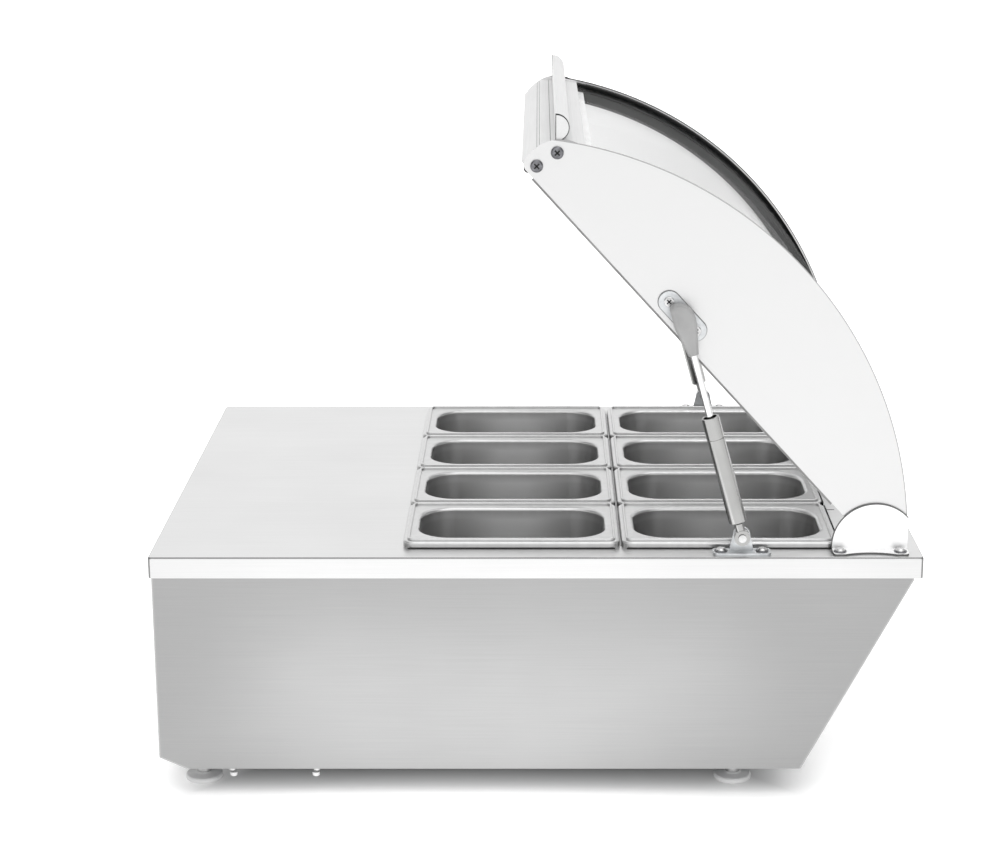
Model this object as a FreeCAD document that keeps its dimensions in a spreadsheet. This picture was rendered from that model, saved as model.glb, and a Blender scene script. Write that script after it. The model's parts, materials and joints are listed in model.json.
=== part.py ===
import FreeCAD, Part
import Sketcher
import math
import os

from FreeCAD import Placement, Rotation, Vector

# Driving sizes in millimetres, angles in degrees
SIZES = (
    # Casing
    ("top_length", 622.0, "worktop along X"),
    ("top_width", 480.0, "worktop along Y"),
    ("top_height", 205.0, "floor to the upper face of the worktop"),
    ("top_sheet", 1.2, "worktop sheet"),
    ("top_corner", 3.0, "worktop corner radius in plan"),
    ("fold_radius", 1.6, "radius of the fold along the worktop edge"),
    ("fascia_drop", 17.5, "height of the folded fascia"),
    ("panel_sheet", 1.2, "casing sheet"),
    ("panel_inset", 1.6, "fascia face to side panel face"),
    ("side_flange", 13.0, "depth of the folded edge of a side panel"),
    ("rear_inset", 2.2, "worktop end to operator panel face"),
    ("front_inset", 7.0, "worktop end to customer panel face"),
    ("front_knee", 19.5, "worktop face down to the fold of the customer panel"),
    ("front_run", 86.5, "how far the customer panel leans in"),
    ("toe_rise", 10.0, "height of the bevel under the operator panel"),
    ("toe_run", 21.5, "depth of the bevel under the operator panel"),
    ("base_margin", 0.6, "base pan end to the panels"),
    # Feet and base bolts
    ("foot_height", 22.0, "floor to the underside of the casing"),
    ("foot_radius", 15.5, "foot disc"),
    ("foot_disc", 4.5, "thickness of the foot disc"),
    ("foot_hub", 5.6, "radius of the foot hub"),
    ("foot_hub_height", 13.0, "floor to the top of the foot hub"),
    ("foot_stem", 4.0, "radius of the foot stem"),
    ("foot_rear_inset", 33.5, "worktop end to the operator-side feet"),
    ("foot_front_inset", 53.0, "lower end of the customer panel to the customer-side feet"),
    ("foot_side_inset", 35.0, "worktop edge to the feet"),
    ("foot_plate_length", 60.0, "foot plate along X"),
    ("foot_plate_lead", 17.5, "end of a customer-side foot plate to the foot axis"),
    ("foot_plate_width", 26.0, "foot plate along Y"),
    ("foot_plate_sheet", 2.0, "foot plate sheet"),
    ("foot_bolt_pitch", 19.0, "between the two bolts of a foot plate"),
    ("foot_bolt_y", 9.0, "foot axis to the bolts, outwards"),
    ("bolt_shank", 2.0, "radius of the small bolts"),
    ("bolt_head", 3.2, "radius of the heads of the small bolts"),
    ("bolt_head_height", 2.6, "height of the heads of the small bolts"),
    ("panel_bolt_rear", 61.0, "worktop end to the rear side-panel bolt"),
    ("panel_bolt_front", 130.5, "worktop end to the front side-panel bolt"),
    ("panel_bolt_edge", 7.0, "side panel face to its bolts"),
    ("panel_bolt_head", 5.8, "height of a side-panel bolt head"),
    # Pans and their well
    ("machine_length", 203.25, "operator end of the worktop to the pans"),
    ("pan_side", 23.25, "worktop edge to the pans"),
    ("pan_depth", 100.0, "pan rim to pan floor"),
    ("pan_rim", 5.6, "height of the turned-down pan edge"),
    ("pan_sheet", 0.8, "pan sheet"),
    ("pan_corner", 9.0, "corner radius of the pan flange"),
    ("pan_edge", 2.2, "radius along the upper edge of the pan flange"),
    ("mouth_end", 11.5, "pan edge to the mouth along X"),
    ("mouth_side", 13.5, "pan edge to the mouth along Y"),
    ("mouth_radius", 27.0, "corner radius of the pan mouth"),
    ("mouth_round", 3.0, "radius from the flange into the mouth"),
    ("floor_inset", 5.0, "how far the pan walls draw in to the floor"),
    ("floor_round", 10.0, "radius between pan wall and pan floor"),
    ("pan_gap_x", 1.5, "gap between the two columns of pans"),
    ("pan_gap_y", 0.5, "gap between two rows of pans"),
    ("pan_inset", 65.25, "worktop end to the pans"),
    ("well_ledge", 6.0, "worktop under the pan flange"),
    ("well_corner", 6.0, "corner radius of the well cut-out"),
    ("tank_sheet", 1.0, "tank sheet"),
    ("tank_gap", 1.0, "well cut-out to tank wall"),
    ("tank_depth", 112.0, "worktop face to the tank floor"),
    ("tank_flange", 8.0, "flange of the tank under the worktop"),
    ("foam_wall", 30.0, "insulation towards the machine side"),
    ("foam_floor", 30.0, "insulation under the tank"),
    ("foam_gap", 0.3, "clearance round the insulation"),
    ("bar_width", 21.0, "pan support bar"),
    ("bar_height", 14.0, "pan support bar"),
    ("bar_sheet", 1.2, "pan support bar sheet"),
    ("bar_gap", 0.4, "end of the bar to the well cut-out"),
    ("bar_ledge", 12.0, "ledge on the tank wall that carries the bar"),
    ("coil_radius", 4.0, "radius of the evaporator tube"),
    ("coil_edge", 37.75, "tank wall to the outer runs of the evaporator tube"),
    ("coil_margin", 22.0, "tank wall to the evaporator tube"),
    ("coil_gap", 0.3, "tank floor to the evaporator tube"),
    ("drain_radius", 7.0, "outer radius of the drain tube"),
    ("drain_wall", 1.5, "wall of the drain tube"),
    ("drain_gap", 0.4, "clearance round the drain tube"),
    ("drain_x", 60.0, "middle of the pans to the drain tube, towards the operator"),
    ("drain_collar", 12.0, "radius of the drain collar in the tank"),
    ("drain_end", 10.0, "floor to the lower end of the drain tube"),
    # Lid
    ("hinge_inset", 37.0, "worktop end to the hinge axis"),
    ("hinge_rise", 7.0, "worktop face to the hinge axis"),
    ("lid_open", 47.6, "how far the lid stands open"),
    ("lid_reach", 420.0, "hinge axis to the nose of the lid"),
    ("cheek_clear", 1.75, "pans to the inner face of a cheek"),
    ("cheek_sheet", 1.5, "cheek sheet"),
    ("chord_drop", 4.6, "hinge axis down to the straight edge of a cheek"),
    ("arch_radius", 330.0, "arched edge of a cheek"),
    ("arch_back", 203.8, "hinge axis to the crown of the arch"),
    ("arch_foot", 39.1, "hinge axis up to the start of the nose curve"),
    ("arch_end", 401.0, "hinge axis to the start of the nose curve"),
    ("nose_radius", 31.0, "upper curve of the nose"),
    ("nose_height", 8.0, "hinge axis up to the nose curve"),
    ("nose_corner", 8.0, "lower corner of the nose"),
    ("heel_radius", 6.2, "cheek edge round the hinge stud"),
    ("heel_x", 15.7, "hinge axis to the rear corner of a cheek"),
    ("heel_z", 20.2, "hinge axis up to the rear corner of a cheek"),
    ("heel_top_x", 3.0, "hinge axis to the end of the arch"),
    ("glass_sheet", 5.0, "glass"),
    ("glass_inset", 4.0, "arched edge of a cheek to the glass face"),
    ("glass_gap", 0.3, "clearance round the glass in its slots"),
    ("glass_front_x", 401.0, "hinge axis to the glass edge in the profile"),
    ("glass_rear_x", 2.0, "hinge axis to the glass edge in the rail"),
    ("channel_inset", 2.0, "arched edge of a cheek to the glass channel"),
    ("channel_depth", 17.0, "height of the glass channel"),
    ("channel_width", 12.0, "width of the glass channel"),
    ("channel_web", 2.0, "back of the glass channel"),
    ("channel_end", 8.0, "profile or rail to the end of the glass channel"),
    ("profile_inset", 0.5, "nose of a cheek to the profile face"),
    ("profile_foot", 2.0, "straight cheek edge to the underside of the profile"),
    ("profile_width", 15.5, "foot of the profile"),
    ("profile_back", 16.6, "height of the profile behind"),
    ("profile_side", 20.1, "height of the profile in front"),
    ("profile_slope_x", 412.0, "hinge axis to the lower end of the grip seat"),
    ("profile_slope_z", 25.5, "hinge axis up to the lower end of the grip seat"),
    ("profile_seam_x", 402.5, "hinge axis to the upper end of the grip seat"),
    ("profile_lip_x", 394.5, "hinge axis to the lip of the profile"),
    ("profile_lip", 12.0, "thickness of the profile over the glass edge"),
    ("grip_radius", 10.9, "round side of the grip"),
    ("grip_neck", 5.0, "neck of the grip"),
    ("grip_rise", 1.9, "grip seat to the round of the grip"),
    ("grip_offset", 0.3, "lower end of the grip seat to the grip"),
    ("grip_end_gap", 1.0, "cheek to the end of the grip"),
    ("rail_front_x", 6.0, "hinge axis to the lip of the rail"),
    ("rail_rear_x", 9.0, "hinge axis to the back of the rail"),
    ("seal_inset", 2.0, "profile face to the seal"),
    ("seal_width", 10.0, "seal under the profile"),
    ("seal_height", 3.4, "seal under the profile"),
    ("trim_height", 1.6, "trim on the straight cheek edge"),
    ("trim_lap", 0.25, "trim beyond the cheek faces"),
    ("trim_front_x", 404.0, "hinge axis to the front end of the trim"),
    ("trim_rear_x", 48.0, "hinge axis to the rear end of the trim"),
    ("nose_screw_low_x", 409.3, "hinge axis to the lower nose screw"),
    ("nose_screw_low_z", 3.9, "hinge axis up to the lower nose screw"),
    ("nose_screw_high_x", 406.2, "hinge axis to the upper nose screw"),
    ("nose_screw_high_z", 22.6, "hinge axis up to the upper nose screw"),
    ("nose_screw_head", 5.0, "head radius of the nose screws"),
    ("nose_screw_dome", 2.4, "head height of the nose screws"),
    ("nose_screw_shank", 2.1, "shank radius of the nose screws"),
    ("nose_screw_length", 14.0, "shank length of the nose screws"),
    ("screw_fit", 0.1, "clearance round a screw shank"),
    # Hinge brackets
    ("moon_gap", 0.4, "cheek to the half-moon plate"),
    ("moon_sheet", 1.5, "half-moon plate"),
    ("moon_radius", 35.5, "half-moon plate"),
    ("moon_rise", 4.0, "worktop face to the centre of the half-moon"),
    ("moon_right", 26.0, "hinge axis to the cut edge of the half-moon"),
    ("moon_flange", 13.0, "width of the screwed flange"),
    ("moon_ear", 3.0, "corner radius of the screwed flange"),
    ("moon_bow", 4.5, "depth of the bow in the flange edge"),
    ("moon_bow_radius", 49.0, "bow in the flange edge"),
    ("moon_screw_front", 29.0, "hinge axis to the front flange screw"),
    ("moon_screw_rear", 19.5, "hinge axis to the rear flange screw"),
    ("stud_radius", 3.0, "hinge stud"),
    ("stud_length", 10.0, "hinge stud from the half-moon plate inwards"),
    ("hinge_fit", 0.08, "radial fit of the hinge stud"),
    ("nut_flange", 6.4, "radius of the hinge nut flange"),
    ("nut_flange_height", 1.2, "hinge nut flange"),
    ("nut_radius", 5.5, "hinge nut across corners, half"),
    ("nut_height", 5.0, "hinge nut"),
    ("nut_gap", 0.3, "cheek to the hinge nut"),
    ("top_screw_shank", 2.0, "shank radius of the worktop screws"),
    ("top_screw_head", 4.0, "head radius of the worktop screws"),
    ("top_screw_dome", 2.6, "head height of the worktop screws"),
    ("top_screw_length", 9.0, "shank length of the worktop screws"),
    # Gas struts
    ("strut_gap", 10.0, "cheek face to the strut axis"),
    ("strut_foot_back", 108.3, "hinge axis to the lower strut pin"),
    ("strut_foot_rise", 14.1, "worktop face to the lower strut pin"),
    ("strut_top_back", 246.6, "hinge axis to the upper strut end, lid closed"),
    ("strut_top_rise", 10.3, "hinge axis up to the upper strut end, lid closed"),
    ("ball_back", 254.25, "hinge axis to the stud on the cheek, lid closed"),
    ("ball_rise", 7.96, "hinge axis up to the stud on the cheek, lid closed"),
    ("ball_radius", 1.5, "stud on the cheek"),
    ("ball_length", 9.5, "stud on the cheek"),
    ("oval_length", 48.0, "oval plate on the cheek"),
    ("oval_width", 17.0, "oval plate on the cheek"),
    ("oval_sheet", 2.0, "oval plate on the cheek"),
    ("oval_back", 244.6, "hinge axis to the middle of the oval plate"),
    ("oval_rise", 8.7, "hinge axis up to the middle of the oval plate"),
    ("oval_screw_pitch", 32.0, "between the screws of the oval plate"),
    ("oval_hole", 2.0, "radius of the screw holes of the oval plate"),
    ("hood_gap", 0.4, "oval plate to the hood"),
    ("hood_front", 6.9, "strut axis to the front of the hood"),
    ("hood_half", 8.9, "half width of the hood"),
    ("hood_room", 7.7, "half width of the hollow in the hood"),
    ("hood_wall", 1.5, "front wall of the hood"),
    ("hood_head", 9.0, "upper strut end to the tail of the hood"),
    ("hood_tail", 33.0, "upper strut end to the lower end of the hood"),
    ("hood_neck", 4.2, "half width of the lower end of the hood"),
    ("hood_edge", 3.0, "radius along the front edge of the hood"),
    ("hood_corner", 4.4, "upper corner of the hood on the operator side"),
    ("hood_round", 13.0, "upper corner of the hood on the customer side"),
    ("hood_tail_corner", 4.0, "corners of the tail of the hood"),
    ("room_corner", 1.9, "corners of the hollow in the hood"),
    ("rod_radius", 2.75, "strut rod"),
    ("rod_seat", 20.0, "rod inside the hood"),
    ("rod_inside", 20.0, "rod inside the tube, lid open"),
    ("piston_height", 8.0, "piston on the rod"),
    ("slide_fit", 0.08, "radial fit of rod and piston"),
    ("tube_radius", 7.2, "strut tube"),
    ("tube_foot", 12.5, "lower pin to the tube"),
    ("tube_mouth", 103.3, "lower pin to the mouth of the tube"),
    ("tube_bore", 5.4, "bore of the tube"),
    ("tube_bore_foot", 24.0, "lower pin to the end of the bore"),
    ("mouth_bore", 5.4, "radius of the open mouth of the tube"),
    ("mouth_depth", 6.0, "depth of the open mouth"),
    ("gland_height", 5.0, "rod gland under the mouth"),
    ("collar_drop", 17.5, "tube mouth to the collar groove"),
    ("collar_groove", 0.6, "width and depth of the collar groove"),
    ("tube_bevel", 1.5, "bevel at the foot of the tube"),
    ("neck_radius", 3.6, "neck between eye and tube"),
    ("eye_radius", 6.25, "eye at the foot of the strut"),
    ("eye_width", 8.0, "eye at the foot of the strut"),
    ("pin_radius", 2.5, "lower strut pin"),
    ("pin_fit", 0.05, "radial fit of the lower pin"),
    ("pin_head", 3.25, "head radius of the lower pin"),
    ("pin_head_height", 1.2, "head of the lower pin"),
    ("lug_sheet", 2.5, "upright lug of the strut bracket"),
    ("lug_gap", 0.4, "eye to the lug and to the pin head"),
    ("lug_radius", 7.0, "round top of the lug"),
    ("lug_foot", 10.0, "half width of the lug at its foot"),
    ("bracket_length", 47.0, "strut bracket base"),
    ("bracket_width", 15.0, "strut bracket base"),
    ("bracket_sheet", 2.0, "strut bracket base"),
    ("bracket_gap", 0.8, "cheek to the strut bracket base"),
    ("bracket_screw_pitch", 33.0, "between the screws of the strut bracket"),
    # Machine side
    ("pot_radius", 60.0, "compressor pot"),
    ("pot_height", 128.0, "compressor pot"),
    ("pot_shoulder", 34.0, "height of the compressor dome"),
    ("pot_y", 120.0, "middle of the worktop to the compressor, towards the near side"),
    ("pot_plate_length", 150.0, "compressor plate along Y"),
    ("pot_plate_sheet", 2.5, "compressor plate"),
    ("mount_edge", 12.0, "plate edge to the rubber mounts along X"),
    ("mount_pitch_y", 126.0, "rubber mounts along Y"),
    ("mount_radius", 9.0, "rubber mount"),
    ("mount_height", 12.0, "rubber mount"),
    ("mount_bore", 3.2, "bore of the rubber mount"),
    ("mount_bolt", 3.0, "bolt through the rubber mount"),
    ("condenser_depth", 34.0, "condenser along X"),
    ("condenser_width", 170.0, "condenser along Y"),
    ("condenser_height", 116.0, "condenser"),
    ("condenser_gap", 24.0, "operator panel to the condenser"),
    ("condenser_y", 105.0, "middle of the worktop to the condenser"),
    ("condenser_end", 1.5, "end plates of the condenser"),
    ("fin_sheet", 0.8, "condenser fins"),
    ("tube_pitch", 24.0, "between two condenser tubes"),
    ("tube_size", 4.0, "radius of the condenser tubes"),
    ("shroud_sheet", 1.5, "fan shroud"),
    ("shroud_depth", 30.0, "fan shroud along X"),
    ("fan_radius", 50.0, "fan opening"),
    ("fan_tip_gap", 2.0, "fan blade to its opening"),
    ("fan_hub", 14.0, "fan hub"),
    ("fan_hub_length", 14.0, "fan hub"),
    ("fan_blade_sheet", 1.6, "fan blade"),
    ("fan_blade_pitch", 28.0, "pitch angle of the fan blades"),
    ("fan_blade_chord", 30.0, "length of a fan blade across"),
    ("shaft_radius", 2.0, "fan shaft"),
    ("shaft_fit", 0.06, "radial fit of the fan on its shaft"),
    ("motor_radius", 17.0, "fan motor"),
    ("motor_length", 26.0, "fan motor"),
    ("motor_gap", 3.0, "motor to the fan hub"),
    ("arm_width", 8.0, "arms that carry the motor"),
    ("slot_length", 64.0, "air slot"),
    ("slot_height", 5.0, "air slot"),
    ("slot_pitch", 12.0, "between two air slots"),
    # Controls on the operator side
    ("control_z", 152.0, "floor to the controls"),
    ("bezel_sheet", 1.6, "bezels of controller, switch and inlet"),
    ("bezel_lap", 2.5, "bezel beyond its cut-out"),
    ("cutout_gap", 0.3, "body of a control to its cut-out"),
    ("controller_y", 30.0, "middle of the worktop to the controller"),
    ("controller_length", 71.0, "controller body"),
    ("controller_height", 29.0, "controller body"),
    ("controller_depth", 52.0, "controller body"),
    ("window_length", 34.0, "display window of the controller"),
    ("window_height", 16.0, "display window of the controller"),
    ("window_depth", 0.6, "display window of the controller"),
    ("window_shift", 12.0, "middle of the controller to its window"),
    ("switch_y", 140.0, "middle of the worktop to the switch"),
    ("switch_length", 27.0, "switch body along Z"),
    ("switch_width", 20.0, "switch body along Y"),
    ("switch_depth", 24.0, "switch body"),
    ("switch_wall", 2.0, "wall of the switch body"),
    ("switch_room", 9.0, "depth of the hollow for the rocker"),
    ("rocker_gap", 0.5, "rocker to the switch body"),
    ("rocker_tilt", 7.0, "tilt of the rocker when off"),
    ("rocker_axis", 3.0, "operator panel face to the rocker axis"),
    ("rocker_face", 2.6, "rocker axis to the middle of its face"),
    ("rocker_end", 3.4, "rocker axis to the raised ends of its face"),
    ("rocker_back", 2.4, "rocker axis to the back of the rocker"),
    ("rocker_pin", 1.4, "radius of the rocker pins"),
    ("rocker_pin_length", 1.6, "length of the rocker pins"),
    ("inlet_inset", 38.4, "side panel face to the mains inlet"),
    ("inlet_z", 62.0, "floor to the mains inlet"),
    ("inlet_length", 27.0, "inlet body along Y"),
    ("inlet_height", 20.0, "inlet body along Z"),
    ("inlet_depth", 26.0, "inlet body"),
    ("inlet_wall", 2.5, "wall round the socket of the inlet"),
    ("inlet_room", 16.0, "depth of the socket"),
    ("inlet_pin_height", 4.0, "contact pins of the inlet"),
    ("inlet_pin_sheet", 2.0, "contact pins of the inlet"),
    ("inlet_pin_length", 12.0, "contact pins of the inlet"),
    ("inlet_pin_pitch", 6.5, "between two contact pins"),
)

PAN_COLUMNS = 2
PAN_ROWS = 4
COIL_RUNS = 8
FAN_BLADES = 5
AIR_SLOTS = 9
CONDENSER_TUBES = 4
CONDENSER_FINS = 20
NEAR, FAR = -1, 1
SIDE_NAMES = {NEAR: "near", FAR: "far"}

doc = FreeCAD.newDocument("salad_display")
sheet = doc.addObject("Spreadsheet::Sheet", "Sizes")
for row, (alias, value, note) in enumerate(SIZES, start=1):
    sheet.set(f"A{row}", note)
    sheet.set(f"B{row}", str(value))
    sheet.setAlias(f"B{row}", alias)
doc.recompute()


class Size:
    """A size with its present value and the sheet formula that it follows."""

    def __init__(self, value, formula):
        self.value = float(value)
        self.formula = formula

    def __add__(self, other):
        other = as_size(other)
        return Size(self.value + other.value, f"({self.formula} + {other.formula})")

    def __sub__(self, other):
        other = as_size(other)
        return Size(self.value - other.value, f"({self.formula} - {other.formula})")

    def __mul__(self, other):
        other = as_size(other)
        return Size(self.value * other.value, f"({self.formula} * {other.formula})")

    def __truediv__(self, other):
        other = as_size(other)
        return Size(self.value / other.value, f"({self.formula} / {other.formula})")

    def __radd__(self, other):
        return as_size(other) + self

    def __rsub__(self, other):
        return as_size(other) - self

    def __rmul__(self, other):
        return as_size(other) * self

    def __neg__(self):
        return as_size(0) - self


def as_size(number):
    """A plain number as a size, or a size as it is."""
    if isinstance(number, Size):
        return number
    return Size(number, f"{float(number)}")


def root(size):
    """Square root."""
    return Size(math.sqrt(size.value), f"sqrt({size.formula})")


def sine(angle):
    """Sine of an angle in degrees."""
    return Size(math.sin(math.radians(angle.value)), f"sin({angle.formula})")


def cosine(angle):
    """Cosine of an angle in degrees."""
    return Size(math.cos(math.radians(angle.value)), f"cos({angle.formula})")


def bearing(across, along):
    """Angle in degrees of a direction, from along towards across."""
    value = math.degrees(math.atan2(across.value, along.value))
    return Size(value, f"(atan2({across.formula}; {along.formula}) / 1 deg)")


class Sheet:
    """The sheet's cells as sizes, by alias."""

    def __getattr__(self, alias):
        return Size(sheet.get(alias), f"Sizes.{alias}")


d = Sheet()

# Places that several pieces share
half_length = d.top_length / 2
half_width = d.top_width / 2
top_under = d.top_height - d.top_sheet
casing_y = half_width - d.panel_inset
rear_out = d.rear_inset - half_length
rear_in = rear_out + d.panel_sheet
knee_out = half_length - d.front_inset
knee_in = knee_out - d.panel_sheet
knee_z = d.top_height - d.front_knee
front_rise = knee_z - d.foot_height
front_skin = d.panel_sheet * root(d.front_run * d.front_run + front_rise * front_rise) / front_rise
front_foot = knee_out - d.front_run
knee_in_z = knee_z + (front_skin - d.panel_sheet) * front_rise / d.front_run
toe_z = d.foot_height + d.toe_rise
toe_skin = d.panel_sheet * root(d.toe_run * d.toe_run + d.toe_rise * d.toe_rise) / d.toe_rise
toe_in_z = toe_z + (toe_skin - d.panel_sheet) * d.toe_rise / d.toe_run
toe_in_x = rear_out + d.toe_run + toe_skin
base_z = d.foot_height + d.panel_sheet
base_rear = toe_in_x + d.base_margin
foot_rear_x = d.foot_rear_inset - half_length
foot_front_x = front_foot - d.foot_front_inset
foot_y = half_width - d.foot_side_inset
inlet_y = casing_y - d.inlet_inset

machine_floor = base_z + d.panel_sheet
pot_plate_z = machine_floor + d.mount_height
condenser_x = rear_in + d.condenser_gap
shroud_x = condenser_x + d.condenser_depth
fan_z = machine_floor + d.condenser_height / 2
hub_x = shroud_x + d.shroud_depth / 2 - d.fan_hub_length / 2

# Standard pans fill the worktop between its margins, 176 by 108 at these sizes
pans_length = d.top_length - d.machine_length - d.pan_inset
pan_length = (pans_length - d.pan_gap_x * (PAN_COLUMNS - 1)) / PAN_COLUMNS
pan_pitch_x = pan_length + d.pan_gap_x
pan_width = (d.top_width - d.pan_side * 2 - d.pan_gap_y * (PAN_ROWS - 1)) / PAN_ROWS
pan_pitch_y = pan_width + d.pan_gap_y
pans_half_x = pans_length / 2
pans_half_y = half_width - d.pan_side
pan_block_x = half_length - d.pan_inset - pans_half_x
mouth_length = pan_length - d.mouth_end * 2
mouth_width = pan_width - d.mouth_side * 2
well_half_x = pans_half_x - d.well_ledge
well_half_y = pans_half_y - d.well_ledge
tank_half_x = well_half_x + d.tank_gap + d.tank_sheet
tank_half_y = well_half_y + d.tank_gap + d.tank_sheet
tank_floor = d.top_height - d.tank_depth
tank_under = tank_floor - d.tank_sheet
drain_x = pan_block_x - d.drain_x
coil_pitch = (tank_half_y - d.coil_edge) * 2 / (COIL_RUNS - 1)
foam_left = pan_block_x - tank_half_x - d.foam_wall
pot_x = (rear_in + foam_left) / 2
mount_half_x = d.pot_radius - d.mount_edge

hinge_x = half_length - d.hinge_inset
hinge_z = d.top_height + d.hinge_rise
cheek_in = pans_half_y + d.cheek_clear
cheek_out = cheek_in + d.cheek_sheet
moon_in = cheek_out + d.moon_gap
moon_out = moon_in + d.moon_sheet
moon_screw_y = moon_out + d.moon_flange / 2
glass_out = d.arch_radius - d.glass_inset
glass_in = glass_out - d.glass_sheet
channel_out = d.arch_radius - d.channel_inset
arch_half = d.arch_end - d.arch_back
arch_drop = root(d.arch_radius * d.arch_radius - arch_half * arch_half) - d.arch_foot
profile_face = d.profile_inset - d.lid_reach
profile_under = d.profile_foot - d.chord_drop

strut_foot_x = hinge_x - d.strut_foot_back
strut_foot_z = d.top_height + d.strut_foot_rise
bracket_in = cheek_out + d.bracket_gap
bracket_y = bracket_in + d.bracket_width / 2
oval_out = cheek_out + d.oval_sheet
strut_y = cheek_out + d.strut_gap


def lid_point(x, z):
    """A point of the closed lid, measured from the hinge axis, with the lid open."""
    turn_cos = cosine(d.lid_open)
    turn_sin = sine(d.lid_open)
    return hinge_x + x * turn_cos + z * turn_sin, hinge_z - x * turn_sin + z * turn_cos


strut_top_x, strut_top_z = lid_point(-d.strut_top_back, d.strut_top_rise)
strut_dx = strut_top_x - strut_foot_x
strut_dz = strut_top_z - strut_foot_z
strut_length = root(strut_dx * strut_dx + strut_dz * strut_dz)
strut_lean = bearing(strut_dx, strut_dz)


def arch_z(radius, x):
    """Height above the hinge axis of an arc about the arch centre, lid closed."""
    across = x + d.arch_back
    return root(radius * radius - across * across) - arch_drop


# Document helpers
def bind(obj, name, size):
    """Set a property and let it follow the sheet."""
    size = as_size(size)
    setattr(obj, name, size.value)
    obj.setExpression(name, size.formula)


def place(obj, x=0, y=0, z=0, axis=Vector(0, 1, 0), angle=0):
    """Set the placement of a sub-part and let it follow the sheet."""
    x, y, z, angle = as_size(x), as_size(y), as_size(z), as_size(angle)
    obj.Placement = Placement(Vector(x.value, y.value, z.value), Rotation(axis, angle.value))
    obj.setExpression("Placement.Base.x", x.formula)
    obj.setExpression("Placement.Base.y", y.formula)
    obj.setExpression("Placement.Base.z", z.formula)
    if angle.value:
        obj.setExpression("Placement.Rotation.Angle", angle.formula)
    return obj


def place_on_lid(obj):
    """Put a sub-part drawn on the closed lid where the open lid has it."""
    return place(obj, hinge_x, 0, hinge_z, Vector(0, 1, 0), d.lid_open)


def new_body(label):
    """An empty body with its label."""
    body = doc.addObject("PartDesign::Body", label)
    body.Label = label
    return body


def sketch_on(body, role, name, offset):
    """A sketch on one of the body's origin planes, moved along the plane's normal."""
    offset = as_size(offset)
    plane = next(part for part in body.Origin.OriginFeatures if part.Role == role)
    sketch = body.newObject("Sketcher::SketchObject", f"{body.Label}_{name}")
    sketch.AttachmentSupport = [(plane, "")]
    sketch.MapMode = "FlatFace"
    sketch.AttachmentOffset = Placement(Vector(0, 0, offset.value), Rotation())
    sketch.setExpression("AttachmentOffset.Base.z", offset.formula)
    return sketch


def level(body, name, z):
    """A sketch in X and Y at height z, facing up."""
    return sketch_on(body, "XY_Plane", name, z)


def upright(body, name, y):
    """A sketch in X and Z at depth y, facing towards -Y."""
    return sketch_on(body, "XZ_Plane", name, -as_size(y))


def facing(body, name, x):
    """A sketch in Y and Z at x, facing towards +X."""
    return sketch_on(body, "YZ_Plane", name, x)


def point_rules(edge, end, x, y):
    """Rules that hold one end of an edge at a point of the sheet."""
    return [(("DistanceX", -1, 1, edge, end, x.value), x), (("DistanceY", -1, 1, edge, end, y.value), y)]


def radius_rule(edge, size):
    """Rule that holds the radius of an arc or circle."""
    return ("Radius", edge, size.value), size


def constrain(sketch, rules):
    """Add all rules at once and let those with a size follow the sheet."""
    constraints = []
    bound = []
    for number, (terms, size) in enumerate(rules, start=sketch.ConstraintCount):
        constraint = Sketcher.Constraint(*terms)
        if size is not None:
            constraint.Name = f"size_{number}"
            bound.append((constraint.Name, size))
        constraints.append(constraint)
    sketch.addConstraint(constraints)
    for name, size in bound:
        sketch.setExpression(f"Constraints.{name}", size.formula)


def arc_between(start, end, radius, clockwise):
    """The shorter arc of a radius from one point to another."""
    chord = end - start
    half = chord.Length / 2
    height = math.sqrt(max(radius * radius - half * half, 0.0))
    left = Vector(-chord.y, chord.x, 0).normalize()
    centre = (start + end) / 2 + left * (-height if clockwise else height)
    first, last = (end, start) if clockwise else (start, end)
    angles = [math.atan2(p.y - centre.y, p.x - centre.x) for p in (first, last)]
    if angles[1] < angles[0]:
        angles[1] += 2 * math.pi
    return Part.ArcOfCircle(Part.Circle(centre, Vector(0, 0, 1), radius), *angles)


def outline(sketch, corners):
    """A closed outline. A corner (x, y, radius) starts an arc, clockwise if the radius is negative."""
    corners = [tuple(as_size(part) for part in corner) for corner in corners]
    points = [Vector(corner[0].value, corner[1].value, 0) for corner in corners]
    sides = []
    for index, corner in enumerate(corners):
        start, end = points[index], points[(index + 1) % len(points)]
        if len(corner) == 2:
            edge = sketch.addGeometry(Part.LineSegment(start, end))
            sides.append((edge, 1, 2))
            continue
        clockwise = corner[2].value < 0
        edge = sketch.addGeometry(arc_between(start, end, abs(corner[2].value), clockwise))
        sides.append((edge, 2, 1) if clockwise else (edge, 1, 2))
    rules = []
    for index, corner in enumerate(corners):
        edge, start, end = sides[index]
        follower, follower_start, _ = sides[(index + 1) % len(sides)]
        rules.append((("Coincident", edge, end, follower, follower_start), None))
        rules += point_rules(edge, start, corner[0], corner[1])
        if len(corner) == 3:
            rules.append(radius_rule(edge, -corner[2] if corner[2].value < 0 else corner[2]))
    constrain(sketch, rules)


def box_outline(sketch, low_x, high_x, low_y, high_y, radius=None):
    """A rectangle, with rounded corners where a radius is given."""
    if radius is None:
        outline(sketch, [(low_x, low_y), (high_x, low_y), (high_x, high_y), (low_x, high_y)])
        return
    outline(sketch, [
        (low_x + radius, low_y), (high_x - radius, low_y, radius),
        (high_x, low_y + radius), (high_x, high_y - radius, radius),
        (high_x - radius, high_y), (low_x + radius, high_y, radius),
        (low_x, high_y - radius), (low_x, low_y + radius, radius),
    ])


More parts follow.
